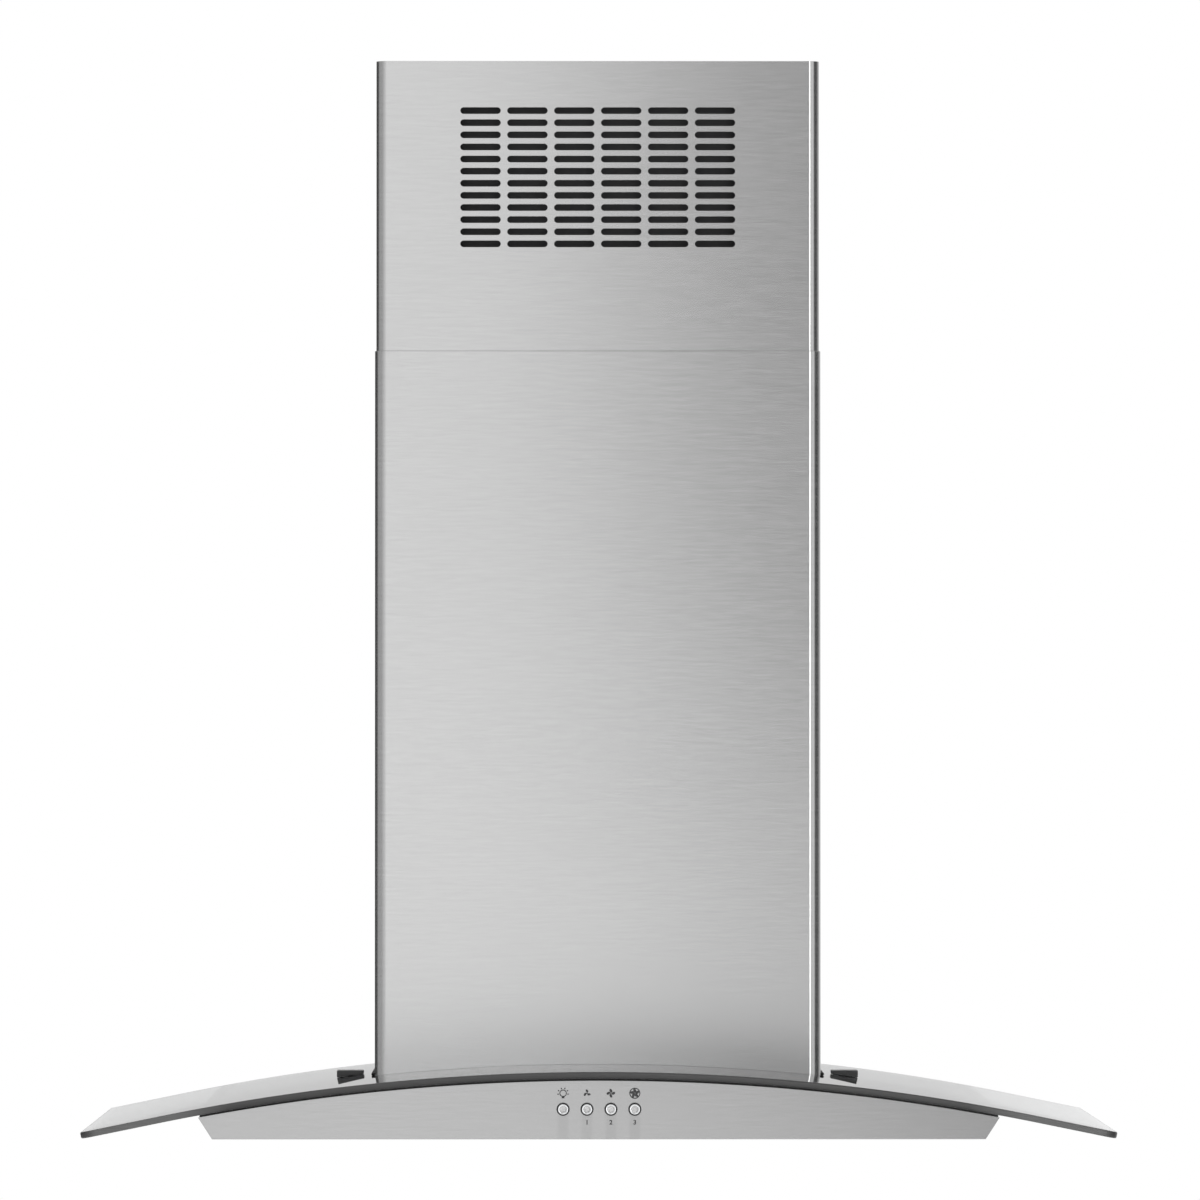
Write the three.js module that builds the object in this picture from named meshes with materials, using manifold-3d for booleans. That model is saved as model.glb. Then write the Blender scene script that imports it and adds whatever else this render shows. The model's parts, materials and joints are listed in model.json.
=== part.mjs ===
// A wall-mounted range hood with a curved glass canopy and a telescoping chimney.
// Millimetres, +Z up, X to the right seen from the front, the wall at Y = 0 and the cook at -Y.
// The pieces are drawn in a group whose Z = 0 is the hood's underside; the group is then
// lowered so that the origin lies on the wall, level with the hanging line of the blower box.

import * as THREE from "three";
import { mergeVertices } from "three/addons/utils/BufferGeometryUtils.js";
import Module from "manifold-3d";

const manifold = await Module();
manifold.setup();

// ---------------------------------------------------------------- driving dimensions

const HANG_HEIGHT = 130;            // the origin's height above the underside
const GAP = 0.3;                    // clearance between pieces that touch
const SHEET = 1;                    // folded sheet of the body and the blower box
const COVER_SHEET = 0.7;            // the two chimney covers

const GLASS_WIDTH = 760;
const GLASS_FRONT = -500;
const GLASS_BACK = -4;
const GLASS_THICKNESS = 5;
const GLASS_CROWN = 49.5;           // top of the glass at the middle
const GLASS_RADIUS = 1610;          // the bend, seen from the front
const BEND_HALF = 322;              // the bend ends here and the wings run straight
const GLASS_CORNER = 10;
const SEAL_GAP = 1.6;               // between the glass and the body
const GLASS_HOLE = 4.5;
const THROUGH_CANOPY = [-20, 80];   // heights of a cut that passes the canopy and the deck
const PAST_WALL = 10;               // a cut that leaves through the back ends here
const FAR_BELOW = -60;
const TRIM_HALF = 300;              // reach of the tool that trims pieces along the curve

const PANEL_FRONT = -494;           // the front panel's face
const PANEL_TOP_HALF = 293.5;
const PANEL_BOTTOM_HALF = 283.2;
const PANEL_LIP = 15;               // folded back along the bottom edge
const DECK_SHEET = 0.8;
const DECK_HALF = 293;
const REAR_FACE = 0;

const BOX_HALF = 150;               // blower box, inside the chimney
const BOX_FRONT = -262;
const BOX_BOTTOM = 32;
const BOX_TOP = 300;
const BOX_FLANGE = 12;
const WINDOW_HALF = 20;             // hanging windows in the box's back
const WINDOW_X = 110;
const WINDOW_BOTTOM = 215;
const WINDOW_TOP = 270;

const DUCT_Y = -159;                // centre of the exhaust, and of the chimney
const COLLAR_INNER = 73.5;
const COLLAR_OUTER = 74.7;
const COLLAR_FLANGE = 84;
const COLLAR_TOP = 356;
const DAMPER_Z = 322;
const FLAP_RADIUS = 72;
const FLAP_SHEET = 1;
const PIN_RADIUS = 2;

const FAN_Y = -105;                 // the impeller's axis, along X
const FAN_Z = 140;
const IMPELLER_RADIUS = 70;
const IMPELLER_BORE = 57;           // inside the ring of blades
const IMPELLER_HALF = 44;
const BLADES = 24;
const VOLUTE_HALF = 54;
const VOLUTE_WALL = 1.6;
const VOLUTE_START = 76;            // scroll radius at the tongue
const VOLUTE_END = 104;             // scroll radius where the outlet begins
const TONGUE_OFFSET = -4;
const INLET_RADIUS = 55;
const MOTOR_RADIUS = 36;
const SHAFT_RADIUS = 4;

const COVER_HALF = 167.5;           // lower chimney cover
const COVER_FRONT = -320;
const COVER_BACK = -1;
const COVER_BEND = 9;
const COVER_RETURN = 12;
const LOWER_TOP = 585;
const COVER_CLEARANCE = 0.3;        // the upper cover slides inside the lower one
const UPPER_TOP = 802.9;
const UPPER_LENGTH = 500;
const SLOT_COLUMNS = 6;
const SLOT_ROWS = 12;
const SLOT_LENGTH = 30.2;
const SLOT_HEIGHT = 4.9;
const SLOT_PITCH_X = 35.25;
const SLOT_PITCH_Z = 9.11;
const SLOT_TOP_DROP = 37.3;         // top row, below the cover's top edge
const DEFLECTOR_HALF = 113;         // black channel behind the slots
const DEFLECTOR_DEPTH = 20;
const DEFLECTOR_WALL = 1.5;
const DEFLECTOR_LIP = 12;
const DEFLECTOR_TOP_DROP = 25;      // below the cover's top edge
const DEFLECTOR_HEIGHT = 125;
const STRAP_TOP_DROP = 10;          // upper wall bracket
const STRAP_HEIGHT = 24;
const WALL_SCREW = 3;               // radius of a screw hole for the wall
const GASKET_THICKNESS = 1.6;
const GASKET_LIP = 2.5;

const BUTTONS = 4;
const BUTTON_PITCH = 17.5;
const BUTTON_Z = 22;
const BUTTON_RADIUS = 3.8;
const BUTTON_TRAVEL = 2;
const BUTTON_CLEARANCE = 0.2;
const BUTTON_PROUD = 2.6;           // of the panel's face
const BEZEL_PROUD = 1.1;
const BEZEL_RADIUS = 4.8;
const PANEL_HOLE = 4.55;

const LAMP_X = 170;
const LAMP_Y = -450;
const LAMP_LENS = 26.5;
const LAMP_FLANGE = 33;
const LAMP_TOP = 22;
const LAMP_WALL = 1.5;

const FILTER_INNER_X = 6.5;         // edge next to the middle rib
const FILTER_WIDTH = 248;
const FILTER_FRONT = -411;
const FILTER_REAR = -112.5;
const FILTER_HEIGHT = 9;
const FILTER_RAIL = 12;
const OPENING_GAP = 1;
const OPENING_REAR = -110;
const LATCH_TRAVEL = 5;

const CLAMP_X = 187;
const CLAMP_Y = -250;
const CLAMP_WIDTH = 20;
const CLAMP_DEPTH = 24;
const CLAMP_TOP = 42.7;
const CLAMP_THREAD = 2.5;           // hole in the deck
const SCREW_HEAD = 3.5;

// ---------------------------------------------------------------- materials

function finish(color, roughness, metalness, opacity = 1) {
  const material = new THREE.MeshStandardMaterial({ color, roughness, metalness });
  material.transparent = opacity < 1;
  material.opacity = opacity;
  return material;
}

const STAINLESS = finish(0xb9babb, 0.32, 1);
const GALVANISED = finish(0x9da1a3, 0.5, 0.9);
const ALUMINIUM = finish(0xc4c6c8, 0.4, 1);
const CHROME = finish(0xdfe1e2, 0.12, 1);
const GLASS = finish(0xb8c0c2, 0.05, 0, 0.35);
const BLACK_RUBBER = finish(0x1c1c1d, 0.8, 0);
const BLACK_PLASTIC = finish(0x222325, 0.5, 0);
const GREY_PLASTIC = finish(0x8d9193, 0.55, 0);
const DARK_STEEL = finish(0x3d4043, 0.45, 0.8);
const WHITE_LENS = finish(0xe9ebea, 0.3, 0);
const BOARD_GREEN = finish(0x2d5a3c, 0.6, 0);

// ---------------------------------------------------------------- solids

// A closed geometry becomes a solid that can be joined or cut.
function solid(geometry) {
  const bare = geometry.clone();
  bare.deleteAttribute("normal");
  bare.deleteAttribute("uv");
  const merged = mergeVertices(bare, 1e-4);
  const mesh = new manifold.Mesh({
    numProp: 3,
    vertProperties: new Float32Array(merged.attributes.position.array),
    triVerts: new Uint32Array(merged.index.array),
  });
  return new manifold.Manifold(mesh);
}

function geometryOf(body) {
  const mesh = body.getMesh();
  const geometry = new THREE.BufferGeometry();
  geometry.setAttribute("position", new THREE.BufferAttribute(mesh.vertProperties, 3));
  geometry.setIndex(new THREE.BufferAttribute(mesh.triVerts, 1));
  geometry.computeVertexNormals();
  return geometry;
}

function joined(...bodies) {
  return bodies.reduce((whole, body) => whole.add(body));
}

function cut(body, ...tools) {
  return tools.reduce((whole, tool) => whole.subtract(tool), body);
}

// A box between two corners, given as ranges along X, Y and Z.
function block([x0, x1], [y0, y1], [z0, z1]) {
  const geometry = new THREE.BoxGeometry(x1 - x0, y1 - y0, z1 - z0);
  geometry.translate((x0 + x1) / 2, (y0 + y1) / 2, (z0 + z1) / 2);
  return solid(geometry);
}

function outline(points) {
  return new THREE.Shape(points.map(([u, v]) => new THREE.Vector2(u, v)));
}

function extrude(shape, depth) {
  return new THREE.ExtrudeGeometry(shape, { depth, bevelEnabled: false });
}

// An outline of (x, y) points, raised from z0 to z1.
function raised(points, z0, z1) {
  const geometry = extrude(outline(points), z1 - z0);
  geometry.translate(0, 0, z0);
  return solid(geometry);
}

// An outline of (x, z) points seen from the front, running back from y0 to y1.
function profiled(points, y0, y1) {
  const geometry = extrude(outline(points), y1 - y0);
  geometry.rotateX(Math.PI / 2);
  geometry.translate(0, y1, 0);
  return solid(geometry);
}

// An outline of (y, z) points seen from the side, running across from x0 to x1.
function across(points, x0, x1) {
  const geometry = extrude(outline(points), x1 - x0);
  geometry.rotateX(Math.PI / 2);
  geometry.rotateZ(Math.PI / 2);
  geometry.translate(x0, 0, 0);
  return solid(geometry);
}

// A turned piece about +Z: the profile is (radius, height) points that close on the axis
// or on themselves.
function turned(profile, segments = 32) {
  const points = profile.map(([radius, height]) => new THREE.Vector2(radius, height));
  const geometry = new THREE.LatheGeometry(points, segments);
  geometry.rotateX(Math.PI / 2);
  return geometry;
}

function turnedAlongZ(profile, [x, y], segments) {
  const geometry = turned(profile, segments);
  geometry.translate(x, y, 0);
  return solid(geometry);
}

// The profile's heights become Y, so a piece that faces the cook has its front at low values.
function turnedAlongY(profile, [x, z], segments) {
  const geometry = turned(profile, segments);
  geometry.rotateX(-Math.PI / 2);
  geometry.translate(x, 0, z);
  return solid(geometry);
}

function turnedAlongX(profile, [y, z], segments) {
  const geometry = turned(profile, segments);
  geometry.rotateY(Math.PI / 2);
  geometry.translate(0, y, z);
  return solid(geometry);
}

function rod(radius, low, high) {
  return [[0, low], [radius, low], [radius, high], [0, high]];
}

function ring(inner, outer, low, high) {
  return [[inner, low], [outer, low], [outer, high], [inner, high], [inner, low]];
}

function mirrored(body) {
  return body.scale([-1, 1, 1]);
}

// ---------------------------------------------------------------- the curve of the canopy

function canopyHeight(x) {
  const reach = Math.min(Math.abs(x), BEND_HALF);
  const fall = GLASS_RADIUS - Math.sqrt(GLASS_RADIUS ** 2 - reach ** 2);
  const slope = BEND_HALF / Math.sqrt(GLASS_RADIUS ** 2 - BEND_HALF ** 2);
  return GLASS_CROWN - fall - slope * (Math.abs(x) - reach);
}

// Points along the curve from x0 to x1, each lowered by drop.
function curvePoints(x0, x1, drop, steps = 36) {
  const points = [];
  for (let step = 0; step <= steps; step++) {
    const x = x0 + ((x1 - x0) * step) / steps;
    points.push([x, canopyHeight(x) - drop]);
  }
  return points;
}

// A sheet that follows the curve, between two distances below the glass top.
function curvedSheet(half, upper, lower, y0, y1, steps) {
  const top = curvePoints(-half, half, upper, steps);
  const bottom = curvePoints(half, -half, lower, steps);
  return profiled([...top, ...bottom], y0, y1);
}

// Everything under the curve, lowered by drop; it trims the pieces that stand on the glass.
function underCurve(half, drop, y0, y1) {
  const top = curvePoints(-half, half, drop);
  return profiled([...top, [half, FAR_BELOW], [-half, FAR_BELOW]], y0, y1);
}

// ---------------------------------------------------------------- glass and its seal

function arcPoints([cx, cy], radius, from, to, steps) {
  const points = [];
  for (let step = 0; step <= steps; step++) {
    const angle = THREE.MathUtils.degToRad(from + ((to - from) * step) / steps);
    points.push([cx + radius * Math.cos(angle), cy + radius * Math.sin(angle)]);
  }
  return points;
}

function glassCanopy() {
  const half = GLASS_WIDTH / 2;
  const clearance = 2;
  const notch = BOX_HALF + clearance;
  const notchFront = BOX_FRONT - clearance;
  const inner = half - GLASS_CORNER;
  const cornerY = GLASS_FRONT + GLASS_CORNER;
  const plan = [
    ...arcPoints([-inner, cornerY], GLASS_CORNER, 180, 270, 6),
    ...arcPoints([inner, cornerY], GLASS_CORNER, 270, 360, 6),
    [half, GLASS_BACK],
    [notch, GLASS_BACK],
    [notch, notchFront],
    [-notch, notchFront],
    [-notch, GLASS_BACK],
    [-half, GLASS_BACK],
  ];
  const sheet = curvedSheet(half, 0, GLASS_THICKNESS, GLASS_FRONT - 1, GLASS_BACK + 1, 44);
  const hole = turnedAlongZ(rod(GLASS_HOLE, ...THROUGH_CANOPY), [CLAMP_X, CLAMP_Y], 16);
  return cut(sheet.intersect(raised(plan, ...THROUGH_CANOPY)), hole, mirrored(hole));
}

function glassSeal() {
  const upper = GLASS_THICKNESS + GAP;
  const lower = GLASS_THICKNESS + SEAL_GAP - GAP;
  const half = DECK_HALF - 0.5;
  const width = 12;
  const sheet = curvedSheet(half, upper, lower, PANEL_FRONT + 0.2, GLASS_BACK - 4);
  const inside = block([-half + width, half - width], [PANEL_FRONT + width, PAST_WALL], THROUGH_CANOPY);
  return cut(sheet, inside);
}

// ---------------------------------------------------------------- the body under the glass

const DECK_DROP = GLASS_THICKNESS + SEAL_GAP;
const DECK_UNDER = DECK_DROP + DECK_SHEET + GAP;

function topDeck() {
  const front = PANEL_FRONT + SHEET + GAP;
  const sheet = curvedSheet(DECK_HALF, DECK_DROP, DECK_DROP + DECK_SHEET, front, REAR_FACE - 1.5);
  const opening = block([-BOX_HALF - 1, BOX_HALF + 1], [BOX_FRONT - 1, PAST_WALL], THROUGH_CANOPY);
  const hole = turnedAlongZ(rod(CLAMP_THREAD, ...THROUGH_CANOPY), [CLAMP_X, CLAMP_Y], 12);
  return cut(sheet, opening, hole, mirrored(hole));
}

function buttonX(index) {
  return (index - (BUTTONS - 1) / 2) * BUTTON_PITCH;
}

function frontPanel() {
  const face = profiled(
    [
      ...curvePoints(-PANEL_TOP_HALF, PANEL_TOP_HALF, DECK_DROP),
      [PANEL_BOTTOM_HALF, 0],
      [-PANEL_BOTTOM_HALF, 0],
    ],
    PANEL_FRONT,
    PANEL_FRONT + SHEET,
  );
  const lipHalf = PANEL_BOTTOM_HALF - 2;
  const lip = block([-lipHalf, lipHalf], [PANEL_FRONT + 0.5, PANEL_FRONT + PANEL_LIP], [0, SHEET]);
  let panel = joined(face, lip);
  for (let index = 0; index < BUTTONS; index++) {
    const hole = rod(PANEL_HOLE, PANEL_FRONT - 5, PANEL_FRONT + 5);
    panel = cut(panel, turnedAlongY(hole, [buttonX(index), BUTTON_Z], 24));
  }
  return panel;
}

function rightSidePanel() {
  const top = canopyHeight(PANEL_TOP_HALF) - DECK_UNDER;
  const lean = (PANEL_TOP_HALF - PANEL_BOTTOM_HALF) / (canopyHeight(PANEL_TOP_HALF) - DECK_DROP);
  const outer = PANEL_BOTTOM_HALF + lean * top;
  const wall = [
    [PANEL_BOTTOM_HALF - SHEET, 0],
    [PANEL_BOTTOM_HALF, 0],
    [outer, top],
    [outer - SHEET, top],
  ];
  return profiled(wall, PANEL_FRONT + SHEET + GAP, REAR_FACE);
}

function rearPanel() {
  const half = PANEL_BOTTOM_HALF - SHEET - GAP;
  const step = BOX_HALF + BOX_FLANGE + 2;
  const notch = BOX_BOTTOM - GAP;
  const wall = [
    [-half, SHEET + GAP],
    [half, SHEET + GAP],
    ...curvePoints(half, step, DECK_UNDER, 10),
    [step, notch],
    [-step, notch],
    ...curvePoints(-step, -half, DECK_UNDER, 10),
  ];
  return profiled(wall, REAR_FACE - SHEET, REAR_FACE);
}

function undersidePanel() {
  const half = PANEL_BOTTOM_HALF - SHEET - GAP;
  const front = PANEL_FRONT + PANEL_LIP + GAP;
  const sheet = block([-half, half], [front, REAR_FACE], [0, SHEET]);
  const inner = FILTER_INNER_X - OPENING_GAP;
  const outer = FILTER_INNER_X + FILTER_WIDTH + OPENING_GAP;
  const opening = block([inner, outer], [FILTER_FRONT - OPENING_GAP, OPENING_REAR], [-5, 5]);
  const lamp = turnedAlongZ(rod(LAMP_LENS + 0.5, -5, 5), [LAMP_X, LAMP_Y], 32);
  return cut(sheet, opening, mirrored(opening), lamp, mirrored(lamp));
}

// ---------------------------------------------------------------- controls

function buttonBezel(index) {
  const inner = BUTTON_RADIUS + BUTTON_CLEARANCE;
  const neck = PANEL_HOLE - BUTTON_CLEARANCE;
  const face = PANEL_FRONT - BEZEL_PROUD;
  const shoulder = PANEL_FRONT - BUTTON_CLEARANCE;
  const back = PANEL_FRONT + 2 * SHEET;
  const profile = [
    [inner, face],
    [BEZEL_RADIUS, face],
    [BEZEL_RADIUS, shoulder],
    [neck, shoulder],
    [neck, back],
    [inner, back],
    [inner, face],
  ];
  return turnedAlongY(profile, [buttonX(index), BUTTON_Z], 20);
}

const CAP_BACK = PANEL_FRONT + 3;
const STEM_RADIUS = 1.8;
const STEM_LENGTH = 7;

function button(index) {
  const face = PANEL_FRONT - BUTTON_PROUD;
  const profile = [
    [0, face],
    [BUTTON_RADIUS - 0.6, face + 0.1],
    [BUTTON_RADIUS, face + 0.7],
    [BUTTON_RADIUS, CAP_BACK],
    [STEM_RADIUS, CAP_BACK],
    [STEM_RADIUS, CAP_BACK + STEM_LENGTH],
    [0, CAP_BACK + STEM_LENGTH],
  ];
  return turnedAlongY(profile, [buttonX(index), BUTTON_Z], 20);
}

function switchBank() {
  const front = CAP_BACK + BUTTON_TRAVEL + 0.8;
  const back = front + 10;
  const half = 37;
  const footHalf = half + 7;
  const body = block([-half, half], [front, back], [BUTTON_Z - 7, BUTTON_Z + 7]);
  const foot = block([-footHalf, footHalf], [back - 2, back], [SHEET + GAP, BUTTON_Z]);
  let bank = joined(body, foot);
  for (let index = 0; index < BUTTONS; index++) {
    const bore = rod(STEM_RADIUS + 0.25, front - 2, back - 1.5);
    bank = cut(bank, turnedAlongY(bore, [buttonX(index), BUTTON_Z], 16));
  }
  return bank;
}

const TRAY_HALF = 70;
const TRAY_FRONT = PANEL_FRONT + PANEL_LIP + 3.5;
const TRAY_BACK = TRAY_FRONT + 46;
const TRAY_TOP = 33;

function controlTray() {
  const floor = SHEET + GAP;
  const outside = block([-TRAY_HALF, TRAY_HALF], [TRAY_FRONT, TRAY_BACK], [floor, TRAY_TOP]);
  const inside = block(
    [-TRAY_HALF + 2, TRAY_HALF - 2],
    [TRAY_FRONT + 2, TRAY_BACK - 2],
    [floor + 2, TRAY_TOP + 5],
  );
  return cut(outside, inside);
}

function controlLid() {
  return block([-TRAY_HALF, TRAY_HALF], [TRAY_FRONT, TRAY_BACK], [TRAY_TOP + GAP, TRAY_TOP + 2]);
}

function controlBoard() {
  const floor = SHEET + GAP + 2 + GAP;
  const board = block([-64, 64], [TRAY_FRONT + 4, TRAY_BACK - 4], [floor + 3, floor + 4.6]);
  const transformer = block([-56, -26], [TRAY_FRONT + 8, TRAY_FRONT + 36], [floor + 4, floor + 24]);
  const relays = [-12, 8, 28].map((x) =>
    block([x, x + 15], [TRAY_FRONT + 22, TRAY_FRONT + 36], [floor + 4, floor + 18]),
  );
  const posts = [-60, 60].map((x) =>
    block([x - 2, x + 2], [TRAY_FRONT + 20, TRAY_FRONT + 24], [floor, floor + 4]),
  );
  return joined(board, transformer, ...relays, ...posts);
}

// ---------------------------------------------------------------- lamps

function rightLampHousing() {
  const inner = LAMP_LENS + 0.4;
  const rim = SHEET + GAP;
  const profile = [
    [inner, rim],
    [LAMP_FLANGE, rim],
    [LAMP_FLANGE, rim + 1],
    [inner + LAMP_WALL, rim + 1],
    [inner + LAMP_WALL, LAMP_TOP - 4],
    [20, LAMP_TOP],
    [0, LAMP_TOP],
    [0, LAMP_TOP - LAMP_WALL],
    [19, LAMP_TOP - LAMP_WALL],
    [inner, LAMP_TOP - 5],
    [inner, rim],
  ];
  return turnedAlongZ(profile, [LAMP_X, LAMP_Y], 28);
}

function rightLampLens() {
  const profile = [
    [0, 0.2],
    [LAMP_LENS - 2, 0.2],
    [LAMP_LENS, 1],
    [LAMP_LENS, 4],
    [0, 4],
  ];
  return turnedAlongZ(profile, [LAMP_X, LAMP_Y], 28);
}

// ---------------------------------------------------------------- grease filters

const FILTER_X = [FILTER_INNER_X, FILTER_INNER_X + FILTER_WIDTH];
const FILTER_Y = [FILTER_FRONT, FILTER_REAR];
const FILTER_MIDDLE = FILTER_INNER_X + FILTER_WIDTH / 2;
const LATCH_BLOCK_HALF = 20;
const LATCH_BLOCK_BACK = FILTER_FRONT + 26;
const LATCH_FLOOR = 2;
const LATCH_ROOF = 6;

function shrunk([low, high], by) {
  return [low + by, high - by];
}

function centred(half) {
  return [FILTER_MIDDLE - half, FILTER_MIDDLE + half];
}

function rightFilterFrame() {
  const plate = block(FILTER_X, FILTER_Y, [0, FILTER_HEIGHT]);
  const window = block(
    shrunk(FILTER_X, FILTER_RAIL),
    shrunk(FILTER_Y, FILTER_RAIL),
    [-5, FILTER_HEIGHT + 5],
  );
  const groove = block(shrunk(FILTER_X, 4), shrunk(FILTER_Y, 4), [1.5, FILTER_HEIGHT - 1.5]);
  const latchBlock = block(
    centred(LATCH_BLOCK_HALF),
    [FILTER_FRONT, LATCH_BLOCK_BACK],
    [0, FILTER_HEIGHT],
  );
  const pocket = block(
    centred(16.5),
    [FILTER_FRONT + 2, LATCH_BLOCK_BACK - 2],
    [LATCH_FLOOR, LATCH_ROOF],
  );
  const fingerSlot = block(centred(10), [FILTER_FRONT + 7, LATCH_BLOCK_BACK - 4], [-5, 4]);
  const tongueSlot = block(centred(8), [FILTER_FRONT - 5, FILTER_FRONT + 5], [2.2, 4.8]);
  const tabs = [FILTER_X[0] + 40, FILTER_X[1] - 40].map((x) =>
    block([x - 10, x + 10], [FILTER_REAR - 3, FILTER_REAR + 6.5], [2, 3.6]),
  );
  const channel = cut(plate, window, groove);
  return joined(cut(joined(channel, latchBlock), pocket, fingerSlot, tongueSlot), ...tabs);
}

// A pleated mat of knitted mesh, held in the frame's groove.
function rightFilterMesh() {
  const [left, right] = shrunk(FILTER_X, 4.5);
  const pleats = 24;
  const pitch = (right - left) / pleats;
  const upper = [];
  const lower = [];
  for (let step = 0; step <= pleats * 2; step++) {
    const x = left + (pitch * step) / 2;
    const rise = step % 2 ? 1.4 : 0;
    upper.push([x, 5.2 + rise]);
    lower.unshift([x, 2.2 + rise]);
  }
  const mat = profiled([...lower, ...upper], FILTER_FRONT + 4.5, FILTER_REAR - 4.5);
  const clear = LATCH_BLOCK_HALF + GAP;
  return cut(mat, block(centred(clear), [FILTER_FRONT - 5, LATCH_BLOCK_BACK + GAP], [-5, 20]));
}

function rightFilterLatch() {
  const plate = block(
    centred(15.5),
    [FILTER_FRONT + 4, LATCH_BLOCK_BACK - 2.4 - LATCH_TRAVEL],
    [LATCH_FLOOR + GAP, LATCH_ROOF - GAP],
  );
  const tongue = block(centred(7.5), [FILTER_FRONT - 0.6, FILTER_FRONT + 5], [2.5, 4.5]);
  const grip = block(centred(9), [FILTER_FRONT + 11, FILTER_FRONT + 14], [0.4, 3]);
  return joined(plate, tongue, grip);
}

// ---------------------------------------------------------------- blower box and exhaust

// A sheet bent round three sides, as an outline in plan: outside and then inside.
function channelPlan(half, front, back, sheet, bend, inward) {
  const outer = [
    ...arcPoints([-half + bend, front + bend], bend, 180, 270, 5),
    ...arcPoints([half - bend, front + bend], bend, 270, 360, 5),
  ];
  const inner = [
    ...arcPoints([half - bend, front + bend], bend - sheet, 360, 270, 5),
    ...arcPoints([-half + bend, front + bend], bend - sheet, 270, 180, 5),
  ];
  const rightEnd = [
    [half, back],
    [half - inward, back],
    [half - inward, back - sheet],
    [half - sheet, back - sheet],
  ];
  const leftEnd = [
    [-half + sheet, back - sheet],
    [-half + inward, back - sheet],
    [-half + inward, back],
    [-half, back],
  ];
  return [...outer, ...rightEnd, ...inner, ...leftEnd];
}

function blowerBox() {
  const back = REAR_FACE - SHEET - GAP;
  const plan = channelPlan(BOX_HALF, BOX_FRONT, back, SHEET, 3, 10);
  const walls = raised(plan, BOX_BOTTOM, BOX_TOP - SHEET - GAP);
  const wide = BOX_HALF + BOX_FLANGE;
  const rim = block([-wide, wide], [BOX_FRONT - BOX_FLANGE, back], [BOX_BOTTOM, BOX_BOTTOM + SHEET]);
  const mouth = block([-BOX_HALF + 0.5, BOX_HALF - 0.5], [BOX_FRONT + 0.5, PAST_WALL], THROUGH_CANOPY);
  return joined(walls, cut(rim, mouth));
}

function blowerBoxBack() {
  const sheet = block([-BOX_HALF, BOX_HALF], [-SHEET, REAR_FACE], [BOX_BOTTOM, BOX_TOP - SHEET - GAP]);
  const window = block(
    [WINDOW_X - WINDOW_HALF, WINDOW_X + WINDOW_HALF],
    [-5, 5],
    [WINDOW_BOTTOM, WINDOW_TOP],
  );
  return cut(sheet, window, mirrored(window));
}

function blowerBoxTop() {
  const sheet = block([-BOX_HALF, BOX_HALF], [BOX_FRONT, REAR_FACE], [BOX_TOP - SHEET, BOX_TOP]);
  return cut(sheet, turnedAlongZ(rod(COLLAR_INNER, BOX_TOP - 5, BOX_TOP + 5), [0, DUCT_Y], 40));
}

// A wall hook: a plate on the wall inside the window, a ledge under the window's top edge
// and a lip behind the sheet.
function rightWallHook() {
  const x = [WINDOW_X - 14, WINDOW_X + 14];
  const ledge = WINDOW_TOP - GAP;
  const metal = 2;
  const reach = -5.5;
  const plate = block(x, [-metal, 0], [WINDOW_BOTTOM + 6, ledge]);
  const shelf = block(x, [reach, 0], [ledge - metal, ledge]);
  const lip = block(x, [reach, reach + metal], [ledge - metal, ledge + 16]);
  const screw = rod(WALL_SCREW, -PAST_WALL, PAST_WALL);
  const hole = turnedAlongY(screw, [WINDOW_X, WINDOW_BOTTOM + 26], 16);
  return cut(joined(plate, shelf, lip), hole);
}

function exhaustCollar() {
  const foot = BOX_TOP + GAP;
  const profile = [
    [COLLAR_INNER, foot],
    [COLLAR_FLANGE, foot],
    [COLLAR_FLANGE, foot + 1.2],
    [COLLAR_OUTER, foot + 1.2],
    [COLLAR_OUTER, COLLAR_TOP],
    [COLLAR_INNER, COLLAR_TOP],
    [COLLAR_INNER, foot],
  ];
  const tube = turnedAlongZ(profile, [0, DUCT_Y], 40);
  const stops = [-1, 1].map((side) => {
    const edge = DUCT_Y + side * (COLLAR_INNER + 0.6);
    const tip = DUCT_Y + side * (FLAP_RADIUS - 4);
    return block([-6, 6], [Math.min(edge, tip), Math.max(edge, tip)], [DAMPER_Z - 3, DAMPER_Z - 1]);
  });
  return joined(tube, ...stops);
}

function damperPin() {
  const half = COLLAR_INNER - 0.6;
  return turnedAlongX(rod(PIN_RADIUS, -half, half), [DUCT_Y, DAMPER_Z], 16);
}

// Half a disc beside the pin, with two rolled knuckles round it; side is -1 for the front one.
function damperFlap(side, knuckleX, otherKnuckleX) {
  const width = 9;                  // of a knuckle
  const slab = [BOX_TOP, COLLAR_TOP];
  const disc = turnedAlongZ(
    rod(FLAP_RADIUS, DAMPER_Z - FLAP_SHEET / 2, DAMPER_Z + FLAP_SHEET / 2),
    [0, DUCT_Y],
    40,
  );
  const edge = DUCT_Y + side * 3;
  const far = DUCT_Y + side * COLLAR_FLANGE;
  const keep = block([-200, 200], [Math.min(edge, far), Math.max(edge, far)], slab);
  let flap = disc.intersect(keep);
  const clearance = DUCT_Y + side * 4.6;
  for (const x of [-otherKnuckleX, otherKnuckleX]) {
    const slot = [x - width / 2 - 0.6, x + width / 2 + 0.6];
    const span = [Math.min(DUCT_Y, clearance), Math.max(DUCT_Y, clearance)];
    flap = cut(flap, block(slot, span, slab));
  }
  for (const x of [-knuckleX, knuckleX]) {
    const roll = ring(PIN_RADIUS + 0.3, 3.6, x - width / 2, x + width / 2);
    flap = joined(flap, turnedAlongX(roll, [DUCT_Y, DAMPER_Z], 16));
  }
  return flap;
}

// ---------------------------------------------------------------- fan

const OUTLET_TOP = BOX_TOP - SHEET - GAP - FAN_Z;

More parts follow.
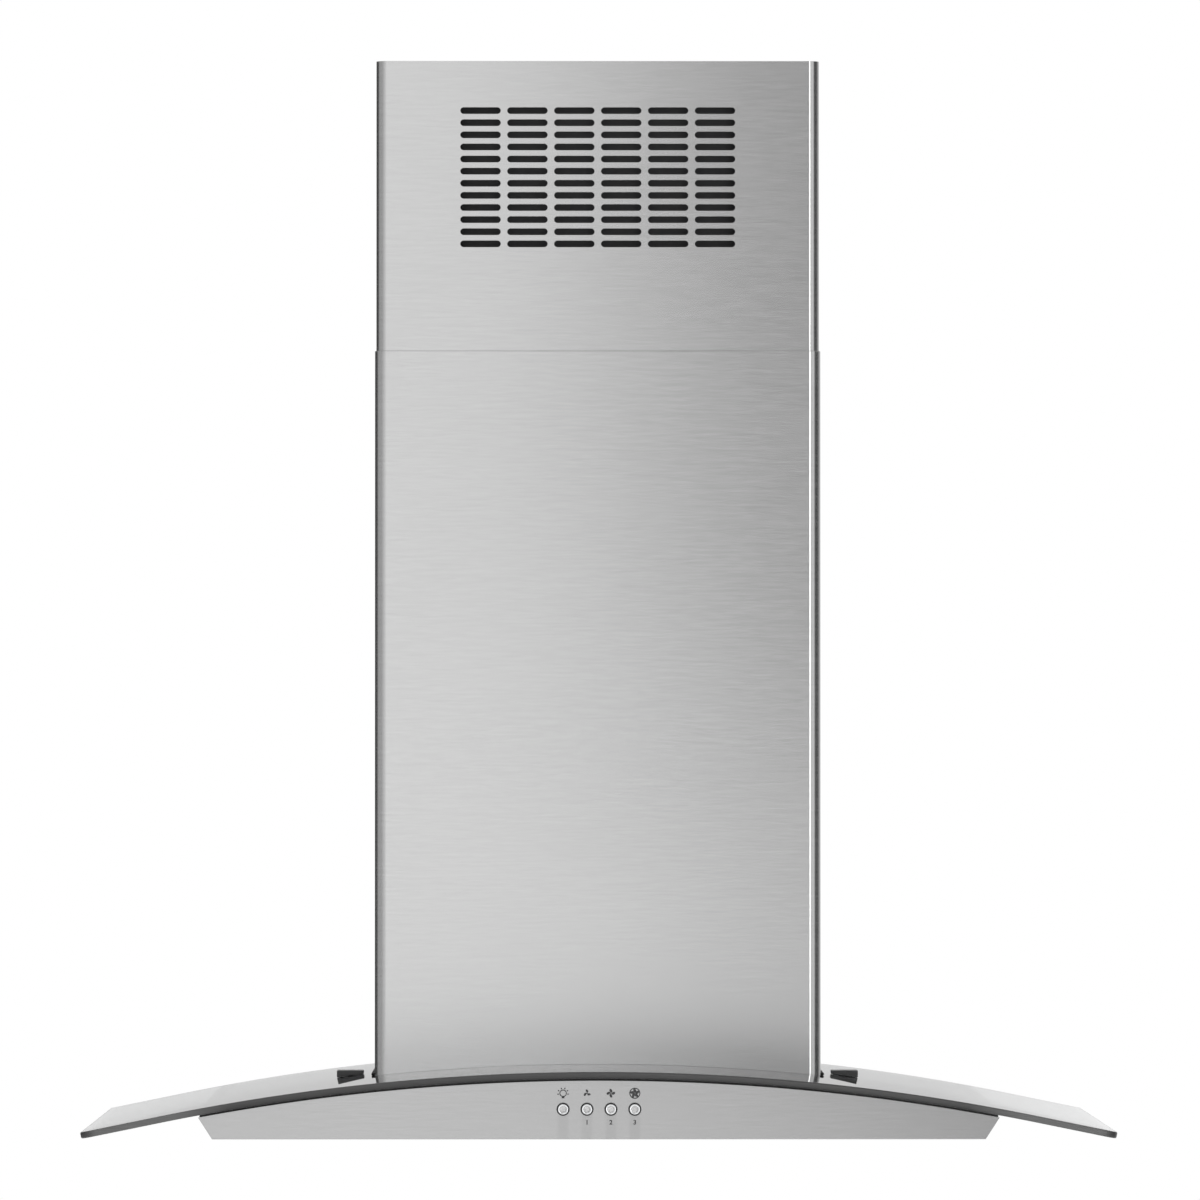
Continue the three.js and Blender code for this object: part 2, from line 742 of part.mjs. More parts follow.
// The scroll's outline about the fan's axis, as (y, z), grown outward by wall.
function scroll(wall, top) {
  const points = [];
  const steps = 30;
  for (let step = 0; step <= steps; step++) {
    const turn = (1.5 * Math.PI * step) / steps;
    const radius = VOLUTE_START + ((VOLUTE_END - VOLUTE_START) * step) / steps + wall;
    points.push([FAN_Y + radius * Math.sin(turn), FAN_Z + radius * Math.cos(turn)]);
  }
  const outer = FAN_Y - VOLUTE_END - wall;
  const tongue = FAN_Y + TONGUE_OFFSET + wall;
  points.push([outer, FAN_Z + top], [tongue, FAN_Z + top]);
  points.push([tongue, FAN_Z + VOLUTE_START + wall]);
  return points.reverse();
}

function rightVoluteHalf() {
  const seam = 0.15;
  const outside = across(scroll(VOLUTE_WALL, OUTLET_TOP - 0.3), seam, VOLUTE_HALF);
  const inside = across(scroll(0, OUTLET_TOP + 10), seam - 5, VOLUTE_HALF - 2);
  const flange = block(
    [seam, VOLUTE_HALF + 8],
    [FAN_Y - VOLUTE_END - 9, FAN_Y + TONGUE_OFFSET + 9],
    [FAN_Z + OUTLET_TOP - 2.3, FAN_Z + OUTLET_TOP - 0.3],
  );
  const mouth = ring(INLET_RADIUS, INLET_RADIUS + 5, VOLUTE_HALF - 1, VOLUTE_HALF + 3);
  const inlet = rod(INLET_RADIUS, 20, 80);
  const body = joined(outside, flange, turnedAlongX(mouth, [FAN_Y, FAN_Z], 36));
  return cut(body, inside, turnedAlongX(inlet, [FAN_Y, FAN_Z], 36));
}

// One forward-curved blade, as an outline about the fan's axis at the given angle.
function bladeOutline(angle) {
  const face = [];
  const back = [];
  const steps = 2;
  for (let step = 0; step <= steps; step++) {
    const share = step / steps;
    const radius = IMPELLER_BORE + (IMPELLER_RADIUS - 0.8 - IMPELLER_BORE) * share;
    const sweep = angle + 0.16 * share ** 2;
    const half = 0.5 / radius;
    face.push([radius * Math.cos(sweep - half), radius * Math.sin(sweep - half)]);
    back.unshift([radius * Math.cos(sweep + half), radius * Math.sin(sweep + half)]);
  }
  return [...face, ...back].map(([y, z]) => [y + FAN_Y, z + FAN_Z]);
}

function impeller() {
  const centre = [FAN_Y, FAN_Z];
  const hub = 13;
  const bore = SHAFT_RADIUS + GAP;
  const disc = [
    [bore, -3],
    [hub, -3],
    [hub, -0.8],
    [IMPELLER_RADIUS, -0.8],
    [IMPELLER_RADIUS, 0.8],
    [hub, 0.8],
    [hub, 16],
    [bore, 16],
    [bore, -3],
  ];
  const rim = ring(IMPELLER_RADIUS - 4, IMPELLER_RADIUS, IMPELLER_HALF - 2, IMPELLER_HALF);
  const rightRim = turnedAlongX(rim, centre, 32);
  const parts = [turnedAlongX(disc, centre, 32), rightRim, mirrored(rightRim)];
  for (let index = 0; index < BLADES; index++) {
    const points = bladeOutline((2 * Math.PI * index) / BLADES);
    parts.push(across(points, -IMPELLER_HALF + 0.5, IMPELLER_HALF - 0.5));
  }
  return joined(...parts);
}

function fanShaft() {
  return turnedAlongX(rod(SHAFT_RADIUS, -24, 22), [FAN_Y, FAN_Z], 20);
}

function fanMotor() {
  const bore = SHAFT_RADIUS + GAP;
  const profile = [
    [0, -74],
    [12, -74],
    [12, -70],
    [MOTOR_RADIUS - 4, -70],
    [MOTOR_RADIUS, -66],
    [MOTOR_RADIUS, -18],
    [MOTOR_RADIUS - 4, -14],
    [14, -14],
    [14, -8],
    [bore, -8],
    [bore, -26],
    [0, -26],
  ];
  return turnedAlongX(profile, [FAN_Y, FAN_Z], 24);
}

// A ring round the motor with three arms that reach the rim of the left inlet.
function motorBracket() {
  const collar = ring(MOTOR_RADIUS + GAP, MOTOR_RADIUS + 3, -66, -59);
  const parts = [turnedAlongX(collar, [FAN_Y, FAN_Z], 32)];
  const arms = 3;
  const start = MOTOR_RADIUS + 2;
  const width = 12;
  for (let arm = 0; arm < arms; arm++) {
    const bar = new THREE.BoxGeometry(3, width, 30);
    bar.translate(-61.5, 0, start + 15);
    const foot = new THREE.BoxGeometry(7, width, 8);
    foot.translate(-(VOLUTE_HALF + GAP + 4.5), 0, start + 27);
    for (const geometry of [bar, foot]) {
      geometry.rotateX((2 * Math.PI * arm) / arms);
      geometry.translate(0, FAN_Y, FAN_Z);
      parts.push(solid(geometry));
    }
  }
  return joined(...parts);
}

function runCapacitor() {
  const radius = 14;
  const top = 252;
  const centre = [118, BOX_FRONT + SHEET + GAP + radius];
  const can = turnedAlongZ(rod(radius, top - 62, top), centre, 24);
  const terminals = [-5, 5].map((offset) =>
    block(
      [centre[0] + offset - 2, centre[0] + offset + 2],
      [centre[1] - 0.5, centre[1] + 0.5],
      [top - 1, top + 10],
    ),
  );
  return joined(can, ...terminals);
}

// ---------------------------------------------------------------- chimney

function lowerChimneyCover() {
  const plan = channelPlan(
    COVER_HALF, COVER_FRONT, COVER_BACK, COVER_SHEET, COVER_BEND, COVER_RETURN,
  );
  const tube = raised(plan, 0, LOWER_TOP);
  const foot = underCurve(TRIM_HALF, -GAP, COVER_FRONT - 1, PAST_WALL);
  const lift = GASKET_THICKNESS + 2 * GAP;
  const sides = underCurve(TRIM_HALF, -lift, COVER_FRONT + COVER_BEND, PAST_WALL);
  return cut(tube, foot, sides);
}

function upperChimneyCover() {
  const inset = COVER_SHEET + COVER_CLEARANCE;
  const front = COVER_FRONT + inset;
  const back = COVER_BACK - inset;
  const half = COVER_HALF - inset;
  const plan = channelPlan(half, front, back, COVER_SHEET, COVER_BEND - inset, COVER_RETURN);
  let cover = raised(plan, UPPER_TOP - UPPER_LENGTH, UPPER_TOP);
  const round = SLOT_HEIGHT / 2;
  const straight = (SLOT_LENGTH - SLOT_HEIGHT) / 2;
  for (let row = 0; row < SLOT_ROWS; row++) {
    const z = UPPER_TOP - SLOT_TOP_DROP - row * SLOT_PITCH_Z;
    for (let column = 0; column < SLOT_COLUMNS; column++) {
      const x = (column - (SLOT_COLUMNS - 1) / 2) * SLOT_PITCH_X;
      const slot = [
        ...arcPoints([x + straight, z], round, -90, 90, 3),
        ...arcPoints([x - straight, z], round, 90, 270, 3),
      ];
      cover = cut(cover, profiled(slot, front - 2, front + 2));
    }
  }
  return cover;
}

// A channel open above and below, whose lips lie against the inside of the upper cover.
function slotDeflector() {
  const front = COVER_FRONT + 2 * COVER_SHEET + COVER_CLEARANCE + GAP;
  const back = front + DEFLECTOR_DEPTH;
  const inner = DEFLECTOR_HALF - DEFLECTOR_WALL;
  const lip = DEFLECTOR_HALF + DEFLECTOR_LIP;
  const plan = [
    [-lip, front],
    [-inner, front],
    [-inner, back - DEFLECTOR_WALL],
    [inner, back - DEFLECTOR_WALL],
    [inner, front],
    [lip, front],
    [lip, front + DEFLECTOR_WALL],
    [DEFLECTOR_HALF, front + DEFLECTOR_WALL],
    [DEFLECTOR_HALF, back],
    [-DEFLECTOR_HALF, back],
    [-DEFLECTOR_HALF, front + DEFLECTOR_WALL],
    [-lip, front + DEFLECTOR_WALL],
  ];
  const top = UPPER_TOP - DEFLECTOR_TOP_DROP;
  return raised(plan, top - DEFLECTOR_HEIGHT, top);
}

// A strap on the wall whose two ears hold the upper cover's sides.
function upperWallBracket() {
  const half = COVER_HALF - COVER_SHEET - COVER_CLEARANCE - COVER_SHEET - GAP;
  const top = UPPER_TOP - STRAP_TOP_DROP;
  const z = [top - STRAP_HEIGHT, top];
  const clear = COVER_RETURN + 2;
  const strap = block([-half + clear, half - clear], [-2, 0], z);
  const step = block([-half + clear, -half + clear + 2], [-6, 0], z);
  const shelf = block([-half, -half + clear + 2], [-6, -4], z);
  const ear = block([-half, -half + 1.5], [-34, -4], z);
  const leftArm = joined(step, shelf, ear);
  let bracket = joined(strap, leftArm, mirrored(leftArm));
  for (const x of [-100, 100]) {
    const hole = rod(WALL_SCREW, -PAST_WALL, PAST_WALL);
    bracket = cut(bracket, turnedAlongY(hole, [x, top - STRAP_HEIGHT / 2], 16));
  }
  return bracket;
}

function chimneyFootGasket() {
  const outer = COVER_HALF + GASKET_LIP;
  const inner = COVER_HALF - 4;
  const front = COVER_FRONT + COVER_SHEET + GAP;
  const strip = curvedSheet(outer, -(GASKET_THICKNESS + GAP), -GAP, front, -12, 24);
  const inside = block([-inner, inner], [front + COVER_BEND + 3, PAST_WALL], THROUGH_CANOPY);
  const bendRoom = COVER_BEND + 1;
  const corner = block(
    [COVER_HALF - bendRoom, outer + 1],
    [COVER_FRONT - 1, COVER_FRONT + bendRoom],
    THROUGH_CANOPY,
  );
  return cut(strip, inside, corner, mirrored(corner));
}

// Joins the lower cover's side to the blower box, low enough to clear the upper cover.
function rightCoverBracket() {
  const inner = BOX_HALF + GAP;
  const outer = COVER_HALF - COVER_SHEET - GAP;
  const y = [-200, -170];
  const z = [55, 75];
  const metal = 1.5;
  const web = block([inner, outer], y, [z[0], z[0] + metal]);
  const boxTab = block([inner, inner + metal], y, z);
  const coverTab = block([outer - metal, outer], y, z);
  return joined(web, boxTab, coverTab);
}

// ---------------------------------------------------------------- glass clamps

function rightGlassClamp() {
  const x = [CLAMP_X - CLAMP_WIDTH / 2, CLAMP_X + CLAMP_WIDTH / 2];
  const y = [CLAMP_Y - CLAMP_DEPTH / 2, CLAMP_Y + CLAMP_DEPTH / 2];
  const body = block(x, y, [30, CLAMP_TOP]);
  const seat = rod(SCREW_HEAD + GAP, CLAMP_TOP - 1.8, CLAMP_TOP + 5);
  const hole = rod(2.4, 20, CLAMP_TOP + 5);
  const [seatCut, holeCut] = [seat, hole].map((tool) => turnedAlongZ(tool, [CLAMP_X, CLAMP_Y], 20));
  return cut(body, underCurve(TRIM_HALF, -GAP, y[0] - 1, y[1] + 1), seatCut, holeCut);
}

function rightClampScrew() {
  const head = CLAMP_TOP - 1.5;
  const profile = [
    [0, 26],
    [2, 26],
    [2, head],
    [SCREW_HEAD, head],
    [SCREW_HEAD, head + 1.2],
    [2.6, head + 1.6],
    [1.4, head + 1.6],
    [1.4, head + 0.6],
    [0, head + 0.6],
  ];
  return turnedAlongZ(profile, [CLAMP_X, CLAMP_Y], 18);
}

// ---------------------------------------------------------------- mains connection box

const TERMINAL_X = [90, 146];
const TERMINAL_Y = [-62, -8];
const TERMINAL_Z = [BOX_TOP + GAP, BOX_TOP + 34];

function terminalBox() {
  const wall = 1.5;
  const outside = block(TERMINAL_X, TERMINAL_Y, TERMINAL_Z);
  const inside = block(
    shrunk(TERMINAL_X, wall),
    shrunk(TERMINAL_Y, wall),
    [TERMINAL_Z[0] + wall, TERMINAL_Z[1] + 5],
  );
  return cut(outside, inside);
}

const GLAND_CENTRE = [118, -35];

function terminalBoxLid() {
  const lid = block(TERMINAL_X, TERMINAL_Y, [TERMINAL_Z[1] + GAP, TERMINAL_Z[1] + 2]);
  return cut(lid, turnedAlongZ(rod(8.4, 300, 360), GLAND_CENTRE, 24));
}

function cableGland() {
  const lid = TERMINAL_Z[1] + 2;
  const profile = [
    [5, lid - 12],
    [8, lid - 12],
    [8, lid + GAP],
    [11.5, lid + GAP],
    [11.5, lid + 6],
    [9, lid + 6],
    [9, lid + 11],
    [7, lid + 14],
    [5, lid + 14],
    [5, lid - 12],
  ];
  return turnedAlongZ(profile, GLAND_CENTRE, 12);
}

// ---------------------------------------------------------------- the assembly

const hood = new THREE.Group();
hood.position.z = -HANG_HEIGHT;

function place(name, body, material) {
  const mesh = new THREE.Mesh(geometryOf(body), material);
  mesh.name = name;
  hood.add(mesh);
}

function placePair(name, rightBody, material) {
  place(`${name}_right`, rightBody, material);
  place(`${name}_left`, mirrored(rightBody), material);
}

place("glass_canopy", glassCanopy(), GLASS);
place("glass_seal", glassSeal(), BLACK_RUBBER);
place("top_deck", topDeck(), STAINLESS);
place("front_panel", frontPanel(), STAINLESS);
placePair("side_panel", rightSidePanel(), STAINLESS);
place("rear_panel", rearPanel(), STAINLESS);
place("underside_panel", undersidePanel(), STAINLESS);
placePair("glass_clamp", rightGlassClamp(), BLACK_PLASTIC);
placePair("clamp_screw", rightClampScrew(), DARK_STEEL);

["light", "fan_low", "fan_medium", "fan_high"].forEach((use, index) => {
  place(`${use}_bezel`, buttonBezel(index), CHROME);
  place(`${use}_button`, button(index), CHROME);
});
place("switch_bank", switchBank(), BLACK_PLASTIC);
place("control_tray", controlTray(), GREY_PLASTIC);
place("control_lid", controlLid(), GREY_PLASTIC);
place("control_board", controlBoard(), BOARD_GREEN);

placePair("lamp_housing", rightLampHousing(), ALUMINIUM);
placePair("lamp_lens", rightLampLens(), WHITE_LENS);
placePair("filter_frame", rightFilterFrame(), ALUMINIUM);
placePair("filter_mesh", rightFilterMesh(), ALUMINIUM);
placePair("filter_latch", rightFilterLatch(), CHROME);

place("blower_box", blowerBox(), GALVANISED);
place("blower_box_back", blowerBoxBack(), GALVANISED);
place("blower_box_top", blowerBoxTop(), GALVANISED);
placePair("wall_hook", rightWallHook(), GALVANISED);
placePair("volute_half", rightVoluteHalf(), BLACK_PLASTIC);
place("impeller", impeller(), GREY_PLASTIC);
place("fan_shaft", fanShaft(), CHROME);
place("fan_motor", fanMotor(), DARK_STEEL);
place("motor_bracket", motorBracket(), GALVANISED);
place("run_capacitor", runCapacitor(), GREY_PLASTIC);
place("exhaust_collar", exhaustCollar(), BLACK_PLASTIC);
place("damper_pin", damperPin(), CHROME);
place("damper_flap_front", damperFlap(-1, 45, 33), BLACK_PLASTIC);
place("damper_flap_rear", damperFlap(1, 33, 45), BLACK_PLASTIC);

place("lower_chimney_cover", lowerChimneyCover(), STAINLESS);
place("chimney_foot_gasket", chimneyFootGasket(), BLACK_RUBBER);
placePair("cover_bracket", rightCoverBracket(), GALVANISED);
place("upper_chimney_cover", upperChimneyCover(), STAINLESS);
place("slot_deflector", slotDeflector(), BLACK_PLASTIC);
place("upper_wall_bracket", upperWallBracket(), GALVANISED);

place("terminal_box", terminalBox(), GALVANISED);
place("terminal_box_lid", terminalBoxLid(), GALVANISED);
place("cable_gland", cableGland(), BLACK_PLASTIC);

export default hood;
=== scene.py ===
# %% [markdown]
# # Dressing a curved glass range hood
# The frame holds every piece of the hood at its real size: the joints, the mounts and the
# solids. This lesson gives it its looks. We load the frame, set up the camera, write the
# finishes, learn a few ways to shape sheet metal and glass with Blender's own operators, and
# then build the pieces that are seen, from the glass to the filters underneath. A plain studio
# comes last.

# %% Load the frame and remember its box
import json
import math

import bmesh
import bpy
from mathutils import Matrix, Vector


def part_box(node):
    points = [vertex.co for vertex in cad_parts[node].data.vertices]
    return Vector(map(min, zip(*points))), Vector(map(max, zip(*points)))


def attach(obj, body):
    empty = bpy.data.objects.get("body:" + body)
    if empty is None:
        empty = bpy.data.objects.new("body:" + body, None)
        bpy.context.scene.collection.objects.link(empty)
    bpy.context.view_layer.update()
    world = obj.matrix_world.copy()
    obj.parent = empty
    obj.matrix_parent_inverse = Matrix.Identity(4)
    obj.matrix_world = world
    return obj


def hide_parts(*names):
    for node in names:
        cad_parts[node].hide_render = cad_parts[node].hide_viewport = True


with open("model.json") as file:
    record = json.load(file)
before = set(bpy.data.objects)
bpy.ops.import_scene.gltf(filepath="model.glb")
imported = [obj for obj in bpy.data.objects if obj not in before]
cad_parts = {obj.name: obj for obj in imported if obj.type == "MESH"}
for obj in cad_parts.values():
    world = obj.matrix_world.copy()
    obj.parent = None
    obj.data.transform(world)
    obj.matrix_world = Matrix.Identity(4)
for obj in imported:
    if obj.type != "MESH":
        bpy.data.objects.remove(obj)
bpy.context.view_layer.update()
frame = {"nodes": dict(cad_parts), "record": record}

# %% [markdown]
# ## The camera
# The photograph looks straight at the hood from far away and a little above the glass. A long
# lens does that: about seven metres back, so that the sides of the chimney stay hidden. The
# horizon lies above the glass, and the camera is tipped up by a degree to hold the chimney.

# %% Camera
MM = 0.001
PHOTO_SIDE = 1200
PIXEL = 0.7319 * MM            # one pixel of the photograph, at the glass's front edge
HORIZON_ROW = 760              # row of the photograph that lies at the camera's height
UNDERSIDE_ROW = 1139.3         # row of the body's lower edge
CAMERA_DISTANCE = 7.0          # in front of the glass's front edge
CAMERA_LEFT = 0.035            # the chimney and the clamps show this small step to the left
SENSOR = 36.0
CLIP_END = 100

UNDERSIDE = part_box("front_panel")[0][2]
GLASS_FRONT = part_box("glass_canopy")[0][1]
camera_height = UNDERSIDE + (UNDERSIDE_ROW - HORIZON_ROW) * PIXEL
tilt = math.atan((HORIZON_ROW - PHOTO_SIDE / 2) * PIXEL / CAMERA_DISTANCE)
swing = -math.atan((CAMERA_LEFT + PIXEL) / CAMERA_DISTANCE)
bpy.ops.object.camera_add(
    location=(-CAMERA_LEFT, GLASS_FRONT - CAMERA_DISTANCE, camera_height),
    rotation=(math.pi / 2 + tilt, 0, swing),
)
camera = bpy.context.object
camera.data.sensor_width = SENSOR
camera.data.lens = SENSOR * CAMERA_DISTANCE / (PHOTO_SIDE * PIXEL)
camera.data.clip_end = CLIP_END
bpy.context.scene.camera = camera
print("camera", tuple(camera.location), "lens", round(camera.data.lens, 1))

# %% [markdown]
# ## Finishes as sums
# A procedural finish is arithmetic on noise. A small class wraps a socket so that sums are
# written as Python writes them. A second one holds a tree of nodes and adds to it by name, and a
# third one holds a material and its surface shader.

# %% A socket that can be added and multiplied
class Signal:
    def __init__(self, recipe, socket):
        self.recipe = recipe
        self.socket = socket

    def __add__(self, other):
        return self.recipe.maths("ADD", self, other)

    def __radd__(self, other):
        return self.recipe.maths("ADD", other, self)

    def __sub__(self, other):
        return self.recipe.maths("SUBTRACT", self, other)

    def __rsub__(self, other):
        return self.recipe.maths("SUBTRACT", other, self)

    def __mul__(self, other):
        return self.recipe.maths("MULTIPLY", self, other)

    def __rmul__(self, other):
        return self.recipe.maths("MULTIPLY", other, self)

    def __truediv__(self, other):
        return self.recipe.maths("DIVIDE", self, other)


# %% A tree of nodes that is written line by line
class Recipe:
    def __init__(self, holder):
        holder.use_nodes = True
        self.tree = holder.node_tree
        self.tree.nodes.clear()

    def feed(self, socket, value):
        if isinstance(value, Signal):
            self.tree.links.new(value.socket, socket)
        elif isinstance(value, tuple) and len(value) == 3 and socket.type == "RGBA":
            socket.default_value = (*value, 1)
        else:
            socket.default_value = value

    def make(self, kind, settings=None, sockets=None, output=0):
        node = self.tree.nodes.new(kind)
        for key, value in (settings or {}).items():
            if key == "stops":
                self.fill_ramp(node.color_ramp, value)
            else:
                setattr(node, key, value)
        for key, value in (sockets or {}).items():
            self.feed(node.inputs[key], value)
        return Signal(self, node.outputs[output])

    def fill_ramp(self, ramp, stops):
        while len(ramp.elements) < len(stops):
            ramp.elements.new(1)
        for element, (place, tone) in zip(ramp.elements, stops):
            element.position = place
            element.color = (tone, tone, tone, 1)

    def maths(self, operation, *values):
        return self.make("ShaderNodeMath", {"operation": operation}, dict(enumerate(values)))

    def axis(self, name, vector):
        """One coordinate of a vector."""
        return self.make("ShaderNodeSeparateXYZ", {}, {"Vector": vector}, output=name)

    def between(self, value, low, high, start=0.0, end=1.0, soft=False):
        """Goes from start to end while value goes from low to high, and is level outside."""
        settings = {"interpolation_type": "SMOOTHSTEP"} if soft else {}
        ends = {"From Min": low, "From Max": high, "To Min": start, "To Max": end}
        return self.make("ShaderNodeMapRange", settings, {"Value": value, **ends})

    def ray(self, way):
        """1 for one kind of ray and 0 for the others."""
        return self.make("ShaderNodeLightPath", output=way)

    def as_colour(self, level):
        return self.make("ShaderNodeCombineColor", {}, {0: level, 1: level, 2: level})


# %% A material, and the few nodes that every finish shares
def grey(level):
    return (level, level, level)


class Finish(Recipe):
    def __init__(self, name, **constants):
        self.material = bpy.data.materials.new(name)
        super().__init__(self.material)
        self.surface = self.tree.nodes.new("ShaderNodeBsdfPrincipled")
        output = self.tree.nodes.new("ShaderNodeOutputMaterial")
        self.tree.links.new(self.surface.outputs[0], output.inputs["Surface"])
        self.set(**constants)

    def set(self, **values):
        for socket, value in values.items():
            self.feed(self.surface.inputs[socket.replace("_", " ")], value)

    def place(self, scale=(1, 1, 1), turn=(0, 0, 0)):
        here = self.make("ShaderNodeTexCoord", output="Object")
        sockets = {"Vector": here, "Scale": scale, "Rotation": turn}
        return self.make("ShaderNodeMapping", {}, sockets)

    def noise(self, scale, detail):
        """Noise with so many grains per metre along x, y and z."""
        sockets = {"Vector": self.place(scale), "Scale": 1.0, "Detail": detail, "Roughness": 0.55}
        return self.make("ShaderNodeTexNoise", {}, sockets)

    def cells(self, scale, output):
        """Flat crystals, so many per metre."""
        sockets = {"Vector": self.place(), "Scale": scale}
        return self.make("ShaderNodeTexVoronoi", {"feature": "F1"}, sockets, output)

    def mixed(self, first, second, share):
        sockets = {"Factor": share, 6: first, 7: second}
        return self.make("ShaderNodeMix", {"data_type": "RGBA"}, sockets, output=2)

    def bump(self, height, strength, distance):
        sockets = {"Height": height, "Strength": strength, "Distance": distance}
        self.set(Normal=self.make("ShaderNodeBump", {}, sockets))


print("finish helpers ready")

# %% [markdown]
# ## Brushed stainless steel
# The covers and the body are grade 304 sheet with a fine horizontal brushing. The grain is noise
# stretched nearly twentyfold along the brushing, so it reads as hair lines. It varies the colour
# a little, the roughness a little more, and feeds a very shallow bump. The anisotropy makes
# reflections smear across the grain, which is what tells brushed steel from grey paint.

# %% Brushed steel
STEEL_DARK = 0.592
STEEL_LIGHT = 0.648
STEEL_ROUGHNESS = 0.185        # at the smoothest of the grain
HAIR = (1500, 80)              # grains per metre, across and along the brushing
LINES = (600, 36)
CLOUD = (5, 5, 7)
BRUSHING_DEPTH = 0.00006
# The dark grey that painted shade blends the steel towards.
PAINTED_SHADE_GREY = grey(0.2)


def brushed_steel(name, across_grain, shade=1.0, painted_shade_mask=None):
    finish = Finish(name, Metallic=1.0, Anisotropic=0.93, Anisotropic_Rotation=0.25)

    def brushed(density, detail):
        across, along = density
        scale = tuple(across if axis == across_grain else along for axis in "xyz")
        return finish.noise(scale, detail)

    grain = brushed(HAIR, 2) * 0.6 + brushed(LINES, 3) * 0.4
    tone = grain * 0.8 + finish.noise(CLOUD, 2) * 0.2
    spread = finish.between(tone, 0.33, 0.67)
    # A shade below 1 paints the same steel darker: painted shade.
    colour = finish.mixed(grey(shade * STEEL_DARK), grey(shade * STEEL_LIGHT), spread)
    # An optional mask blends painted shade into the colour.
    if painted_shade_mask:
        colour = finish.mixed(colour, PAINTED_SHADE_GREY, painted_shade_mask(finish))
    finish.set(Base_Color=colour, Roughness=STEEL_ROUGHNESS + grain * 0.1)
    finish.bump(grain, 0.13, BRUSHING_DEPTH)
    return finish.material


steel = brushed_steel("brushed steel", "z")
steel_flat = brushed_steel("brushed steel, flat sheets", "y")
# The deck is the same steel painted darker: painted shade under the glass and in the chimney's
# mirrored foot.
shaded_deck_steel = brushed_steel("brushed steel, deck, painted shade", "y", shade=0.4)
# The rim is the same steel painted a little darker: painted shade along the joint between the
# covers.
rim_shade_steel = brushed_steel("brushed steel, rim, painted shade", "z", shade=0.88)
print("steel made:", steel.name, "and three more")

# %% [markdown]
# ## Glass
# The canopy is clear toughened glass with ground edges. Clear glass is a transmitting shader with
# a smooth surface. A ground edge scatters the little light that travels inside the sheet, so from
# the front it is a dark grey band, darker along its lower rim. Past the body's ends light also
# comes from below, so the band is paler there, as far as the rounded corners.

# %% Canopy glass
glass = Finish(
    "canopy glass", Base_Color=(0.93, 0.95, 0.955), Transmission_Weight=1.0, IOR=1.5
)
wipe_marks = glass.noise((14, 3, 14), 4)
glass.set(Roughness=wipe_marks * 0.02)
glass.bump(glass.noise((3, 3, 3), 1), 0.05, 0.0004)
print("clear glass made")

# %% The canopy's ground edge
GLASS_RADIUS = 1610 * MM       # of the arc over the canopy's middle
GLASS_SHEET = 5 * MM
EDGE_OPENS = (0.27, 0.31)      # distances from the middle where the band turns pale
CORNER_ROUNDS = (0.368, 0.377)

glass_edge = Finish("ground glass edge", Specular_IOR_Level=0.5)
edge_grain = glass_edge.noise((60, 60, 900), 2)
edge_place = glass_edge.place()
edge_reach = glass_edge.maths("ABSOLUTE", glass_edge.axis("X", edge_place))
edge_fall = edge_reach * edge_reach / (2 * GLASS_RADIUS)
below_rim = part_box("glass_canopy")[1][2] - glass_edge.axis("Z", edge_place) - edge_fall
towards_rim = glass_edge.between(below_rim, GLASS_SHEET, 0.0)
# The band's tones are painted light and shade: painted shade darkens it towards the lower rim and
# at the rounded corners, and painted light makes it paler in the wings, where light comes from
# below.
dark_edge = glass_edge.mixed(grey(0.008), grey(0.118), edge_grain * 0.3 + towards_rim * 0.7)
pale_edge = glass_edge.mixed(grey(0.132), grey(0.222), edge_grain)
pale_edge = glass_edge.mixed(pale_edge, grey(0.05), glass_edge.between(edge_reach, *CORNER_ROUNDS))
glass_edge.set(
    Base_Color=glass_edge.mixed(dark_edge, pale_edge, glass_edge.between(edge_reach, *EDGE_OPENS)),
    Roughness=0.28 + edge_grain * 0.12,
)
print("ground edge made")

# %% [markdown]
# ## Coated, cast and moulded finishes
# Inside the hood the sheets are galvanised, with the zinc's flat crystals; the fan is moulded in
# grained plastic; the filters are aluminium. Each gets its own small recipe.

# %% Galvanised sheet
def galvanised_sheet():
    finish = Finish("galvanised sheet", Metallic=0.9)
    crystals = finish.cells(95.0, "Color")
    spangle = finish.make("ShaderNodeSeparateColor", {}, {"Color": crystals})
    share = spangle * 0.7 + finish.noise((30, 30, 30), 3) * 0.3
    finish.set(Base_Color=finish.mixed((0.42, 0.44, 0.45), (0.66, 0.68, 0.69), share))
    finish.set(Roughness=0.34 + share * 0.16)
    finish.bump(share, 0.1, 0.0001)
    return finish.material


galvanised = galvanised_sheet()
print("galvanised sheet made")


# %% Grained plastic and rubber
def moulded(name, dark, light, roughness, grain_size=2600):
    finish = Finish(name, Specular_IOR_Level=0.4)
    grain = finish.noise((grain_size, grain_size, grain_size), 2)
    patches = finish.noise((18, 18, 18), 3)
    finish.set(Base_Color=finish.mixed(dark, light, patches * 0.7 + grain * 0.3))
    finish.set(Roughness=roughness - 0.06 + patches * 0.12)
    finish.bump(grain, 0.3, 0.00008)
    return finish.material


black_plastic = moulded("black plastic", (0.014, 0.014, 0.015), (0.03, 0.03, 0.032), 0.45)
clamp_plastic = moulded("clamp plastic", (0.04, 0.041, 0.042), (0.085, 0.086, 0.088), 0.36)
grey_plastic = moulded("grey plastic", (0.3, 0.31, 0.315), (0.38, 0.39, 0.395), 0.5)
black_rubber = moulded("black rubber", grey(0.012), grey(0.024), 0.75)
enamel = moulded("motor enamel", (0.04, 0.043, 0.047), (0.07, 0.075, 0.08), 0.35, 500)
board_green = moulded("circuit board", (0.012, 0.1, 0.035), (0.02, 0.16, 0.06), 0.4, 700)
print("plastics and rubber made")


